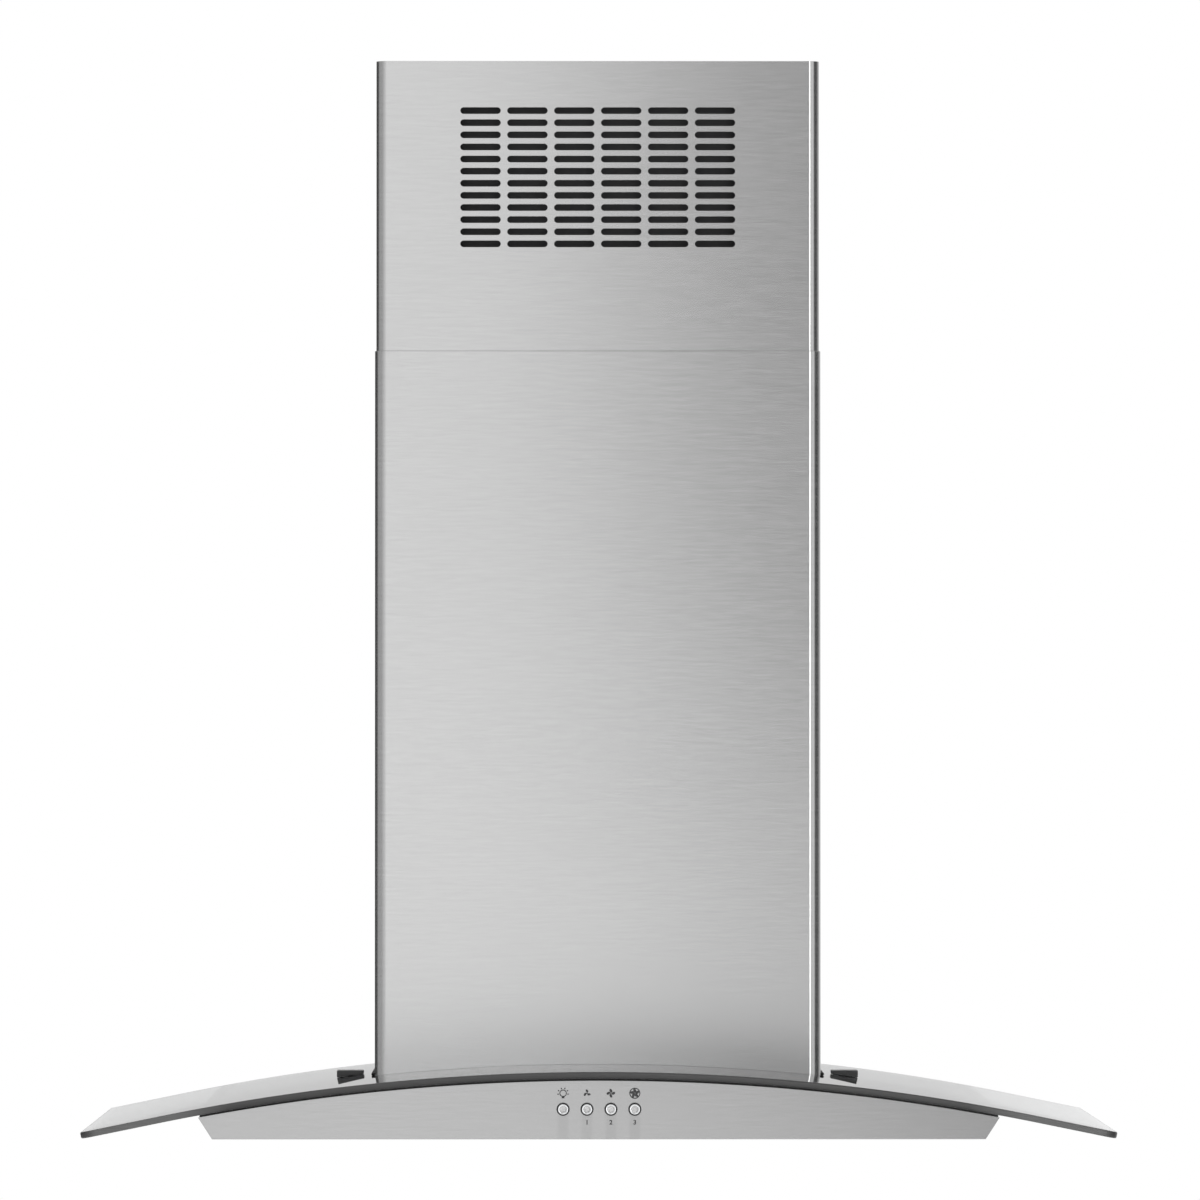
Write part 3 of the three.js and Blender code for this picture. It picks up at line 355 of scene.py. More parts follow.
# %% Drawn and polished metals
def satin_metal(name, dark, light, roughness, scale):
    finish = Finish(name, Metallic=1.0)
    drawn = finish.noise(scale, 3)
    finish.set(Base_Color=finish.mixed(dark, light, drawn))
    finish.set(Roughness=roughness - 0.04 + drawn * 0.08)
    finish.bump(drawn, 0.15, 0.00004)
    return finish.material


aluminium = satin_metal(
    "satin aluminium", (0.62, 0.63, 0.64), (0.76, 0.77, 0.78), 0.34, (40, 900, 900)
)
chrome = satin_metal(
    "polished chrome", (0.68, 0.69, 0.7), (0.78, 0.785, 0.79), 0.14, (300, 300, 300)
)
# The dish's satin roughness is its finish; its dark mottled grey is a painted dark reflection.
satin_dish_with_painted_reflection = satin_metal("satin button dish, painted reflection", grey(0.3), grey(0.75), 0.4, (650, 650, 650))
black_chrome = satin_metal(
    "black chrome", (0.04, 0.04, 0.042), (0.09, 0.09, 0.092), 0.3, (500, 500, 500)
)
dark_steel = satin_metal(
    "blackened screw", (0.035, 0.037, 0.04), (0.08, 0.084, 0.09), 0.42, (800, 800, 800)
)
print("metals made")


# %% Knitted mesh, the frosted lens and ink
def knitted_mesh():
    """Layers of knitted wire: two crossing waves of loops, with painted shade in between."""
    finish = Finish("knitted aluminium", Metallic=0.85)
    waves = []
    for turn in (0.6, -0.6):
        sockets = {"Vector": finish.place(turn=(0, 0, turn)), "Scale": 130.0, "Distortion": 2.0}
        waves.append(finish.make("ShaderNodeTexWave", {}, {**sockets, "Detail": 2.0}, output="Fac"))
    wire = finish.maths("MAXIMUM", *waves)
    # The dark tone between the wires is painted shade in the mat's depth.
    finish.set(Base_Color=finish.mixed((0.06, 0.062, 0.065), (0.6, 0.61, 0.62), wire))
    finish.set(Roughness=0.3 + wire * 0.2)
    finish.bump(wire, 0.6, 0.0006)
    return finish.material


knitted = knitted_mesh()

frosted = Finish("frosted lens", Coat_Weight=0.3, Coat_Roughness=0.08)
prisms = frosted.cells(420.0, "Distance")
frosted.set(Base_Color=frosted.mixed((0.72, 0.74, 0.74), (0.86, 0.87, 0.86), prisms))
frosted.set(Roughness=0.22 + prisms * 0.1)
frosted.bump(prisms, 0.5, 0.0003)

print_ink = Finish("printed ink")
ink_wear = print_ink.noise((900, 900, 900), 2)
print_ink.set(
    Base_Color=print_ink.mixed((0.035, 0.036, 0.038), (0.09, 0.09, 0.092), ink_wear),
    Roughness=0.5 + ink_wear * 0.2,
)
print("mesh, lens and ink made")

# %% [markdown]
# ## Operators by the handful
# Each piece starts as a primitive at its size and place. These helpers add one, open it in edit
# mode with nothing selected, and select faces or edges by where they are and which way they look.

# %% Primitives at their place
def only(piece):
    bpy.ops.object.select_all(action="DESELECT")
    piece.select_set(True)
    bpy.context.view_layer.objects.active = piece


def settle(piece, name):
    """Leaves the piece's place in its mesh, and its object at the origin."""
    only(piece)
    bpy.ops.object.transform_apply(location=True, rotation=True, scale=True)
    piece.name = name
    piece.data.name = name
    return piece


def added(operator, **settings):
    bpy.ops.object.select_all(action="DESELECT")
    operator(**settings)
    return bpy.context.object


def add_box(name, low, high):
    middle = [(a + b) / 2 for a, b in zip(low, high)]
    size = [b - a for a, b in zip(low, high)]
    box = added(bpy.ops.mesh.primitive_cube_add, size=1, location=middle, scale=size)
    return settle(box, name)


TURN = {"x": (0, math.pi / 2, 0), "y": (math.pi / 2, 0, 0), "z": (0, 0, 0)}


def add_rod(name, axis, radius, low, high, centre, sides=48):
    """A cylinder along an axis from low to high; centre gives its other two coordinates."""
    place = list(centre)
    place.insert("xyz".index(axis), (low + high) / 2)
    rod = added(
        bpy.ops.mesh.primitive_cylinder_add,
        vertices=sides,
        radius=radius,
        depth=high - low,
        location=place,
        rotation=TURN[axis],
    )
    return settle(rod, name)


print("primitives ready")


# %% Editing a piece by place and direction
class Editing:
    """Opens a piece in edit mode, and selects by a test on each face or edge."""

    def __init__(self, piece, mode="FACE"):
        self.piece = piece
        self.mode = mode

    def __enter__(self):
        only(self.piece)
        bpy.ops.object.mode_set(mode="EDIT")
        bpy.ops.mesh.select_mode(type=self.mode)
        bpy.ops.mesh.select_all(action="DESELECT")
        return self

    def __exit__(self, *problem):
        bpy.ops.object.mode_set(mode="OBJECT")

    def bisect_all(self, point, normal, clear_outer=False):
        bpy.ops.mesh.select_all(action="SELECT")
        bpy.ops.mesh.bisect(plane_co=point, plane_no=normal, clear_outer=clear_outer)

    def pick_faces(self, test):
        mesh = bmesh.from_edit_mesh(self.piece.data)
        for face in mesh.faces:
            face.select_set(test(face.calc_center_median(), face.normal))
        mesh.select_flush_mode()
        bmesh.update_edit_mesh(self.piece.data)

    def pick_edges(self, test):
        mesh = bmesh.from_edit_mesh(self.piece.data)
        for edge in mesh.edges:
            edge.select_set(test(*(vertex.co for vertex in edge.verts)))
        mesh.select_flush_mode()
        bmesh.update_edit_mesh(self.piece.data)


def upright(a, b):
    """Whether an edge climbs by more than a millimetre."""
    return abs(a.z - b.z) > MM


print("editing helpers ready")


# %% Modifiers, joins and shading
def finish_modifier(piece, kind, **settings):
    only(piece)
    modifier = piece.modifiers.new(kind.title(), kind)
    for key, value in settings.items():
        setattr(modifier, key, value)
    bpy.ops.object.modifier_apply(modifier=modifier.name)


def round_edges(piece, width, segments, angle):
    """Bevels every edge that is sharper than an angle in degrees."""
    finish_modifier(
        piece,
        "BEVEL",
        width=width,
        segments=segments,
        limit_method="ANGLE",
        angle_limit=math.radians(angle),
        miter_outer="MITER_ARC",
        harden_normals=False,
    )


def cut_away(piece, *tools):
    for tool in tools:
        finish_modifier(piece, "BOOLEAN", operation="DIFFERENCE", object=tool, solver="EXACT")
        bpy.data.objects.remove(tool)


def weld(piece, *others):
    """Joins separate shells into one object."""
    bpy.ops.object.select_all(action="DESELECT")
    for other in (piece, *others):
        other.select_set(True)
    bpy.context.view_layer.objects.active = piece
    bpy.ops.object.join()
    return piece


def smooth(piece, angle=35):
    """Shades round stretches smooth, and keeps the flat faces beside them flat."""
    only(piece)
    bpy.ops.object.shade_smooth_by_angle(angle=math.radians(angle))
    finish_modifier(piece, "WEIGHTED_NORMAL", keep_sharp=True, weight=100)


print("modifier helpers ready")


# %% Handing a piece over
def show(piece, body, slot, material, *nodes):
    """Gives a finished piece its material, the body it moves with and the nodes it stands for."""
    piece.data.materials.clear()
    piece.data.materials.append(material)
    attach(piece, body)
    if nodes:
        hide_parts(*nodes)
    return piece


def add_finish(piece, material, test):
    """Gives a second material to the faces that pass a test on their centre and normal."""
    piece.data.materials.append(material)
    for face in piece.data.polygons:
        face.material_index = int(test(face.center, face.normal))
    return piece


def mirrored_copy(piece, name):
    copy = piece.copy()
    copy.data = piece.data.copy()
    bpy.context.scene.collection.objects.link(copy)
    copy.scale.x = -1
    settle(copy, name)
    with Editing(copy):
        bpy.ops.mesh.select_all(action="SELECT")
        bpy.ops.mesh.normals_make_consistent(inside=False)
    return copy


print("modelling helpers ready")

# %% [markdown]
# ## The curve of the canopy
# Seen from the front the glass is one arc over its middle and runs straight in the wings. The
# same line shapes the glass, its seal, the deck under it, the front panel's top edge and the
# chimney's foot, so it is written once and everything is moved onto it.

# %% The canopy's line
glass_low, glass_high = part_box("glass_canopy")
CROWN = glass_high[2]
BEND_HALF = 322 * MM
SEAL_GAP = 1.6 * MM
DECK_DROP = GLASS_SHEET + SEAL_GAP
PAST = 10 * MM                 # how far a cutting tool reaches past what it cuts
FAR_PAST = 50 * MM


def canopy_fall(x):
    """How far the glass's top lies below its crown, at x."""
    reach = min(abs(x), BEND_HALF)
    fall = GLASS_RADIUS - math.sqrt(GLASS_RADIUS**2 - reach**2)
    slope = BEND_HALF / math.sqrt(GLASS_RADIUS**2 - BEND_HALF**2)
    return fall + slope * (abs(x) - reach)


def slice_across(piece, low, high, cuts):
    """Bisects a piece at even steps of x, so that it can follow the curve."""
    with Editing(piece) as edit:
        for step in range(1, cuts):
            edit.bisect_all((low + (high - low) * step / cuts, 0, 0), (1, 0, 0))


def follow_canopy(piece):
    for vertex in piece.data.vertices:
        vertex.co.z -= canopy_fall(vertex.co.x)
    piece.data.update()


def curved_plate(name, low, high, cuts=60):
    plate = add_box(name, low, high)
    slice_across(plate, low[0], high[0], cuts)
    return plate


print("the wings hang", round(canopy_fall(glass_high[0]) / MM, 1), "mm below the crown")

# %% [markdown]
# ## The glass
# A flat plate is cut first and bent last, as the real one is: round the front corners, cut the
# notch for the blower box, grind the rim with a narrow bevel, drill the two clamp holes, and then
# let every point fall onto the curve. The faces that look sideways are the ground edge.

# %% Canopy glass sheet
box_low, box_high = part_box("blower_box_top")
clamp_low, clamp_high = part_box("glass_clamp_right")
CLAMP_X = (clamp_low[0] + clamp_high[0]) / 2
CLAMP_Y = (clamp_low[1] + clamp_high[1]) / 2
NOTCH_CLEARANCE = 2 * MM
CORNER_ROUND = 10 * MM
GLASS_HOLE = 4.5 * MM
RIM_GRIND = 1.2 * MM
GLASS_SLICES = 76
EDGE_TURN = 0.93               # a face whose normal is flatter than this is ground edge


def over_box(name, clearance, low_z, high_z):
    """A tool that makes room for the blower box, as far back as the wall and past it."""
    return add_box(
        name,
        (box_low[0] - clearance, box_low[1] - clearance, low_z),
        (box_high[0] + clearance, FAR_PAST, high_z),
    )


def canopy():
    low = (glass_low[0], glass_low[1], CROWN - GLASS_SHEET)
    plate = add_box("glass_canopy_sheet", low, (glass_high[0], glass_high[1], CROWN))
    with Editing(plate, "EDGE") as edit:
        edit.pick_edges(lambda a, b: upright(a, b) and a.y < glass_low[1] + MM)
        bpy.ops.mesh.bevel(offset=CORNER_ROUND, segments=10, affect="EDGES")
    tool_span = (CROWN - FAR_PAST, CROWN + FAR_PAST)
    notch = over_box("notch", NOTCH_CLEARANCE, *tool_span)
    holes = [
        add_rod("hole", "z", GLASS_HOLE, *tool_span, (side * CLAMP_X, CLAMP_Y))
        for side in (-1, 1)
    ]
    cut_away(plate, notch)
    round_edges(plate, RIM_GRIND, 4, 60)
    cut_away(plate, *holes)
    slice_across(plate, glass_low[0], glass_high[0], GLASS_SLICES)
    for vertex in plate.data.vertices:
        reach = min(abs(vertex.co.x), BEND_HALF)
        lean = reach / GLASS_RADIUS * (CROWN - vertex.co.z)
        vertex.co.x -= math.copysign(lean, vertex.co.x)
    follow_canopy(plate)
    smooth(plate, 40)
    show(plate, "hood_body", "canopy_glass", glass.material, "glass_canopy")
    return add_finish(
        plate, glass_edge.material, lambda centre, normal: abs(normal.z) < EDGE_TURN
    )


canopy_piece = canopy()
print("glass:", len(canopy_piece.data.polygons), "faces")

# %% [markdown]
# ## The seal and the deck
# A black strip lies between the glass and the body. Under it the deck closes the top of the
# body, with an opening for the blower box. Both are plates cut flat and then let down.

# %% Seal and deck
DECK_SHEET = 0.8 * MM
DECK_CLEARANCE = 1 * MM
SEAL_SHEET = 1 * MM
SEAL_WIDTH = 12 * MM
SEAL_BELOW_GLASS = 0.3 * MM


def seal():
    low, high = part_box("glass_seal")
    top = CROWN - GLASS_SHEET - SEAL_BELOW_GLASS
    strip = curved_plate(
        "glass_seal_strip", (low[0], low[1], top - SEAL_SHEET), (high[0], high[1], top)
    )
    inside = add_box(
        "inside",
        (low[0] + SEAL_WIDTH, low[1] + SEAL_WIDTH, top - PAST),
        (high[0] - SEAL_WIDTH, FAR_PAST, top + PAST),
    )
    cut_away(strip, inside)
    round_edges(strip, 0.3 * MM, 2, 60)
    follow_canopy(strip)
    smooth(strip)
    return show(strip, "hood_body", "black_rubber", black_rubber, "glass_seal")


def deck():
    low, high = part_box("top_deck")
    top = CROWN - DECK_DROP
    sheet = curved_plate(
        "top_deck_sheet", (low[0], low[1], top - DECK_SHEET), (high[0], high[1], top)
    )
    cut_away(sheet, over_box("opening", DECK_CLEARANCE, top - PAST, top + PAST))
    follow_canopy(sheet)
    smooth(sheet)
    return show(sheet, "hood_body", "stainless", shaded_deck_steel, "top_deck")


seal_piece = seal()
deck_piece = deck()
print("seal and deck made:", seal_piece.name, deck_piece.name)

# %% [markdown]
# ## The chimney covers
# Each cover is one sheet bent round three sides, with short returns against the wall. A box loses
# its top, bottom and back, its two front corners are bevelled into bends, the back edges are
# extruded inward, and Solidify gives the sheet its thickness.

# %% Folding a cover
COVER_SHEET = 0.7 * MM
COVER_BEND = 9 * MM
COVER_RETURN = 12 * MM
BEND_STEPS = 12


def folded_cover(name, low, high, bend):
    cover = add_box(name, low, high)
    with Editing(cover) as edit:
        edit.pick_faces(lambda centre, normal: abs(normal.z) > 0.5 or normal.y > 0.5)
        bpy.ops.mesh.delete(type="ONLY_FACE")
    with Editing(cover, "EDGE") as edit:
        edit.pick_edges(lambda a, b: upright(a, b) and a.y < low[1] + MM)
        bpy.ops.mesh.bevel(offset=bend, segments=BEND_STEPS, affect="EDGES")
    for side in (-1, 1):
        with Editing(cover, "EDGE") as edit:
            edit.pick_edges(
                lambda a, b: upright(a, b) and a.y > high[1] - MM and a.x * side > 0
            )
            bpy.ops.mesh.extrude_region_move(
                TRANSFORM_OT_translate={"value": (-side * COVER_RETURN, 0, 0)}
            )
    finish_modifier(cover, "SOLIDIFY", thickness=COVER_SHEET, offset=-1, use_even_offset=True)
    return cover


print("a cover is folded from", round(COVER_SHEET / MM, 1), "mm sheet")


# %% Lower cover, with a foot that follows the glass
RIM_BREAK = 0.4 * MM           # the rounded top edge, which draws a fine line at the joint
FOOT_SINKS = 12 * MM           # below the crown, before the moulds cut it to the curve
FRONT_CLEARANCE = 0.05 * MM    # over the glass
SIDE_CLEARANCE = 2.2 * MM
MOULD_HALF = 0.2


def foot_mould(name, front, clearance):
    """The room that the glass takes, from a front plane back to the wall."""
    mould = curved_plate(
        name,
        (-MOULD_HALF, front, CROWN - 60 * MM),
        (MOULD_HALF, 20 * MM, CROWN + clearance),
        40,
    )
    follow_canopy(mould)
    return mould


def lower_cover():
    low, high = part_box("lower_chimney_cover")

    def on_outside(point):
        past_x = max(abs(point.x) - (high[0] - COVER_BEND), 0)
        past_y = max(low[1] + COVER_BEND - point.y, 0)
        return math.hypot(past_x, past_y) > COVER_BEND - COVER_SHEET / 2

    def outer_rim(a, b):
        return min(a.z, b.z) > high[2] - 0.01 * MM and on_outside(a) and on_outside(b)

    bottom = (low[0], low[1], CROWN - FOOT_SINKS)
    cover = folded_cover("lower_chimney_sheet", bottom, tuple(high), COVER_BEND)
    cut_away(cover, foot_mould("foot", low[1] - PAST, FRONT_CLEARANCE))
    cut_away(cover, foot_mould("sides", low[1] + COVER_BEND, SIDE_CLEARANCE))
    with Editing(cover, "EDGE") as edit:
        edit.pick_edges(outer_rim)
        bpy.ops.mesh.bevel(offset=RIM_BREAK, segments=2, affect="EDGES")
    round_edges(cover, 0.15 * MM, 1, 70)
    smooth(cover, 20)
    show(cover, "hood_body", "stainless", steel, "lower_chimney_cover")
    rim = high[2] - RIM_BREAK
    # The rounded rim's faces take the darker steel: painted shade at the joint.
    return add_finish(
        cover, rim_shade_steel, lambda centre, normal: centre.z > rim and normal.z > 0.3
    )


lower_piece = lower_cover()
print("lower cover made,", len(lower_piece.data.polygons), "faces")

# %% [markdown]
# ## The slots
# One slot is a small box whose four short edges are bevelled into round ends. Two Array modifiers
# make the grid of 6 by 12, and one Boolean punches them all.

# %% Upper cover, with its grid of slots
SLOT_COLUMNS = 6
SLOT_ROWS = 12
SLOT_SIZE = (30.2 * MM, 4.9 * MM)
SLOT_PITCH = (35.25 * MM, 9.11 * MM)
SLOT_TOP_DROP = 37.3 * MM
SLOT_END = 0.998               # the round ends, as a share of a half circle
PUNCH_REACH = 3 * MM


def slot_punch(front, top):
    x = -(SLOT_COLUMNS - 1) / 2 * SLOT_PITCH[0]
    z = top - SLOT_TOP_DROP
    half = (SLOT_SIZE[0] / 2, SLOT_SIZE[1] / 2)
    punch = add_box(
        "punch",
        (x - half[0], front - PUNCH_REACH, z - half[1]),
        (x + half[0], front + PUNCH_REACH, z + half[1]),
    )
    with Editing(punch, "EDGE") as edit:
        edit.pick_edges(lambda a, b: abs(a.y - b.y) > MM)
        bpy.ops.mesh.bevel(offset=half[1] * SLOT_END, segments=8, affect="EDGES")
    steps = (((SLOT_PITCH[0], 0, 0), SLOT_COLUMNS), ((0, 0, -SLOT_PITCH[1]), SLOT_ROWS))
    for offset, count in steps:
        finish_modifier(
            punch,
            "ARRAY",
            count=count,
            use_relative_offset=False,
            use_constant_offset=True,
            constant_offset_displace=offset,
        )
    return punch


def upper_cover():
    low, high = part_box("upper_chimney_cover")
    cover = folded_cover("upper_chimney_sheet", tuple(low), tuple(high), COVER_BEND - 1 * MM)
    cut_away(cover, slot_punch(low[1], high[2]))
    round_edges(cover, 0.12 * MM, 1, 70)
    smooth(cover, 20)
    return show(cover, "upper_chimney", "stainless", steel, "upper_chimney_cover")


upper_piece = upper_cover()
print(upper_piece.name, "made with", SLOT_COLUMNS * SLOT_ROWS, "slots")

# %% [markdown]
# ## The front panel
# The panel is a sheet folded back along its lower edge. Its top edge runs along the canopy's line
# and its ends lean inward. The four button holes are punched before the edges are broken.

# %% The row of buttons, and the painted shade under it
BUTTON_PITCH = 17.5 * MM
USES = ("light", "fan_low", "fan_medium", "fan_high")
button_low, button_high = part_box("light_button")
BUTTON_Z = (button_low[2] + button_high[2]) / 2
SHADE_STREAK_EDGE = (5.5 * MM, 2 * MM)    # from a button's middle line: where a streak starts and is full
SHADE_STREAK_STARTS = 4 * MM              # below the middle of the buttons
SHADE_STREAK_STRENGTH = 0.13


def button_x(index):
    return (index - (len(USES) - 1) / 2) * BUTTON_PITCH


def button_smears(finish):
    """Painted shade: faint dark streaks that run down the brushed panel from each button."""
    here = finish.place()
    x = finish.axis("X", here)
    half_pitch = BUTTON_PITCH / 2
    row_end = len(USES) * half_pitch
    aside = finish.maths("PINGPONG", x + half_pitch, half_pitch)
    streak = finish.between(aside, *SHADE_STREAK_EDGE, soft=True)
    in_row = finish.between(finish.maths("ABSOLUTE", x), row_end + 0.05 * half_pitch, row_end)
    below = finish.between(finish.axis("Z", here), BUTTON_Z, BUTTON_Z - SHADE_STREAK_STARTS)
    return streak * in_row * below * SHADE_STREAK_STRENGTH


# The panel is the same steel painted darker, as painted shade, with painted shade streaks down from
# the buttons.
shaded_panel_steel = brushed_steel("brushed steel, front panel, painted shade", "z", shade=0.74, painted_shade_mask=button_smears)
print("panel steel made")

# %% Front panel
PANEL_SHEET = 1 * MM
PANEL_LIP = 15 * MM
PANEL_FOLD = 0.5 * MM
PANEL_BOTTOM_HALF = 283.2 * MM
PANEL_HOLE = 4.55 * MM
panel_low, panel_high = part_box("front_panel")


def front_panel():
    face_y = panel_low[1]
    back_top = (panel_high[0], face_y + PANEL_LIP, CROWN - DECK_DROP)
    sheet = add_box("front_panel_sheet", tuple(panel_low), back_top)
    with Editing(sheet) as edit:
        edit.pick_faces(lambda centre, normal: normal.y > -0.5 and normal.z > -0.5)
        bpy.ops.mesh.delete(type="ONLY_FACE")
    slice_across(sheet, panel_low[0], panel_high[0], 60)
    for vertex in sheet.data.vertices:
        if vertex.co.z > UNDERSIDE + MM:
            vertex.co.z -= canopy_fall(vertex.co.x)
        else:
            vertex.co.x *= PANEL_BOTTOM_HALF / panel_high[0]
    with Editing(sheet, "EDGE") as edit:
        edit.pick_edges(
            lambda a, b: max(a.z, b.z) < UNDERSIDE + MM and max(a.y, b.y) < face_y + MM
        )
        bpy.ops.mesh.bevel(offset=PANEL_FOLD, segments=3, affect="EDGES")
    finish_modifier(sheet, "SOLIDIFY", thickness=PANEL_SHEET, offset=-1, use_even_offset=True)
    hole_span = (face_y - PAST, face_y + 5 * MM)
    holes = [
        add_rod("hole", "y", PANEL_HOLE, *hole_span, (button_x(index), BUTTON_Z))
        for index in range(len(USES))
    ]
    cut_away(sheet, *holes)
    round_edges(sheet, 0.2 * MM, 2, 60)
    smooth(sheet, 30)
    return show(sheet, "hood_body", "stainless", shaded_panel_steel, "front_panel")


panel_piece = front_panel()
print("front panel made,", len(panel_piece.data.polygons), "faces")

# %% [markdown]
# ## Buttons
# A chrome cap slides in a black ring. Both are cylinders: the ring is hollowed by a bore,
# and insets give the cap a rounded shoulder and a shallow dish that catches the light.

# %% Bezels and caps
RING_BORE = 4.0 * MM
RING_BEHIND_PANEL = 0.1 * MM   # the gap between the ring's back and the panel
CAP_TAIL = 7 * MM              # the hidden end of a button, which the cap leaves out
CAP_INSETS = ((0.9 * MM, 0), (0.5 * MM, -0.3 * MM), (0.9 * MM, -0.15 * MM))
DISH_RADIUS = 2.2 * MM


def bezel(index):
    low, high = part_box(USES[index] + "_bezel")
    radius = (high[0] - low[0]) / 2
    centre = (button_x(index), BUTTON_Z)
    back = panel_low[1] - RING_BEHIND_PANEL
    ring = add_rod(USES[index] + "_ring", "y", radius, low[1], back, centre, 64)
    cut_away(ring, add_rod("bore", "y", RING_BORE, low[1] - PAST, high[1] + PAST, centre, 64))
    round_edges(ring, 0.35 * MM, 3, 50)
    smooth(ring, 40)
    return show(ring, "hood_body", "chrome", black_chrome, USES[index] + "_bezel")


def cap(index):
    low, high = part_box(USES[index] + "_button")
    radius = (high[0] - low[0]) / 2
    x = button_x(index)
    back = high[1] - CAP_TAIL
    button = add_rod(USES[index] + "_cap", "y", radius, low[1], back, (x, BUTTON_Z), 64)
    with Editing(button) as edit:
        edit.pick_faces(lambda middle, normal: normal.y < -0.5)
        for thickness, depth in CAP_INSETS:
            bpy.ops.mesh.inset(thickness=thickness, depth=depth)
    round_edges(button, 0.3 * MM, 3, 50)
    smooth(button, 50)
    show(button, USES[index] + "_key", "chrome", chrome, USES[index] + "_button")

    def in_dish(centre, normal):
        away = math.hypot(centre.x - x, centre.z - BUTTON_Z)
        return away < DISH_RADIUS and normal.y < -0.5

    return add_finish(button, satin_dish_with_painted_reflection, in_dish)


for index in range(len(USES)):
    bezel(index)
    cap(index)
print(len(USES), "buttons made")

# %% [markdown]
# ## Signs on the panel
# A lamp with rays stands over the first button and fans of growing size over the others, with
# plain numbers under the fan buttons. They are ink a few hundredths of a millimetre thick.

# %% Flat shapes of ink
INK = 0.04 * MM
ICON_Z = UNDERSIDE + 33.7 * MM
NUMBER_Z = UNDERSIDE + 12.3 * MM
NUMBER_SIZE = 4.6 * MM
NUMBER_BOLD = 0.14 * MM
INK_BACK = panel_low[1] - 0.01 * MM


def around(centre, reach, angle):
    """The point of the panel's face at a distance and an angle from a centre."""
    return (centre[0] + reach * math.cos(angle), centre[1] + reach * math.sin(angle))


def turned(piece, name, centre, angle):
    """Turns a shape made at the origin, and moves it to its place on the panel's face."""
    to_place = Matrix.Translation((centre[0], 0, centre[1]))
    piece.matrix_world = to_place @ Matrix.Rotation(-angle, 4, "Y")
    return settle(piece, name)


def ink_bar(name, centre, length, width, angle):
    half = (length / 2, width / 2)
    bar = add_box(name, (-half[0], INK_BACK - INK, -half[1]), (half[0], INK_BACK, half[1]))
    return turned(bar, name, centre, angle)


def ink_ring(name, centre, outer, inner):
    ring = add_rod(name, "y", outer, INK_BACK - INK, INK_BACK, centre, 32)
    if inner:
        cut_away(ring, add_rod("bore", "y", inner, INK_BACK - PAST, INK_BACK + PAST, centre, 32))
    return ring


print("ink is", round(INK / MM, 2), "mm thick")


# %% Signs and numbers
def lamp_sign(centre):
    bulb = ink_ring("light_sign", centre, 2.7 * MM, 2.0 * MM)
    parts = [ink_bar("neck", (centre[0], centre[1] - 3.1 * MM), 2.0 * MM, 1.2 * MM, 0)]
    for ray in range(6):
        angle = math.radians(-10 + 40 * ray)
        place = around(centre, 3.7 * MM, angle)
        parts.append(ink_bar("ray", place, 1.1 * MM, 0.8 * MM, angle))
    return weld(bulb, *parts)


def fan_sign(centre, size, blades, ringed):
    """A hub and its leaves; every size is a share of the sign's own size."""
    hub = ink_ring("fan_sign", centre, size * 0.16, 0)
    parts = []
    for blade in range(blades):
        angle = 2 * math.pi * blade / blades + math.pi / 2
        leaf = ink_ring("blade", (0, 0), size * 0.44, 0)
        leaf.scale = (1, 1, 0.66)
        settle(leaf, "blade")
        parts.append(turned(leaf, "blade", around(centre, size * 0.56, angle), angle + 0.5))
    if ringed:
        parts.append(ink_ring("rim", centre, size * 1.16, size * 0.94))
    return weld(hub, *parts)


def number_sign(text, centre):
    place = (centre[0], INK_BACK, centre[1])
    sign = added(bpy.ops.object.text_add, location=place, rotation=TURN["y"])
    sign.data.body = text
    sign.data.size = NUMBER_SIZE
    sign.data.align_x = "CENTER"
    sign.data.align_y = "CENTER"
    sign.data.extrude = INK / 2
    sign.data.offset = NUMBER_BOLD
    bpy.ops.object.convert(target="MESH")
    return settle(bpy.context.object, "number_" + text)


FAN_SIZES = (2.9 * MM, 3.3 * MM, 3.5 * MM)
signs = [lamp_sign((button_x(0), ICON_Z))]
for index, size in enumerate(FAN_SIZES, start=1):
    sign = fan_sign((button_x(index), ICON_Z), size, index + 2, index == len(FAN_SIZES))
    sign.name = USES[index] + "_sign"
    signs.append(sign)
    signs.append(number_sign(str(index), (button_x(index), NUMBER_Z)))
for sign in signs:
    show(sign, "hood_body", "black_plastic", print_ink.material)
print(len(signs), "signs printed")

# %% [markdown]
# ## Glass clamps
# Two black blocks pin the glass to the deck. Their undersides follow the glass, their tops are
# level, and each has a screw sunk in it.

# %% Clamps
CLAMP_LIFT = 0.3 * MM          # over the glass
CLAMP_SEAT = (3.8 * MM, 1.8 * MM)    # radius and depth of the screw's seat


def clamp_block():
    top = clamp_high[2]
    flat_low = (clamp_low[0], clamp_low[1], top - 1 * MM)
    block = add_box("glass_clamp_block_right", flat_low, tuple(clamp_high))
    slice_across(block, clamp_low[0], clamp_high[0], 8)
    for vertex in block.data.vertices:
        if vertex.co.z < top - 0.5 * MM:
            vertex.co.z = CROWN + CLAMP_LIFT - canopy_fall(vertex.co.x)
    radius, depth = CLAMP_SEAT
    cut_away(block, add_rod("seat", "z", radius, top - depth, top + PAST, (CLAMP_X, CLAMP_Y)))
    round_edges(block, 0.4 * MM, 3, 50)
    smooth(block, 35)
    return block


right_clamp = clamp_block()
left_clamp = mirrored_copy(right_clamp, "glass_clamp_block_left")
show(right_clamp, "hood_body", "black_plastic", clamp_plastic, "glass_clamp_right")
show(left_clamp, "hood_body", "black_plastic", clamp_plastic, "glass_clamp_left")
print("clamps made")

# %% [markdown]
# ## Grease filters
# Each filter is a frame round a mat of knitted mesh, and an expanded-metal sheet covers the mat.
# Expanded metal is a grid turned by 45 degrees and squashed into diamonds. It is trimmed to the
# frame with bisects, notched for the latch, and the Wireframe modifier turns edges to strands.

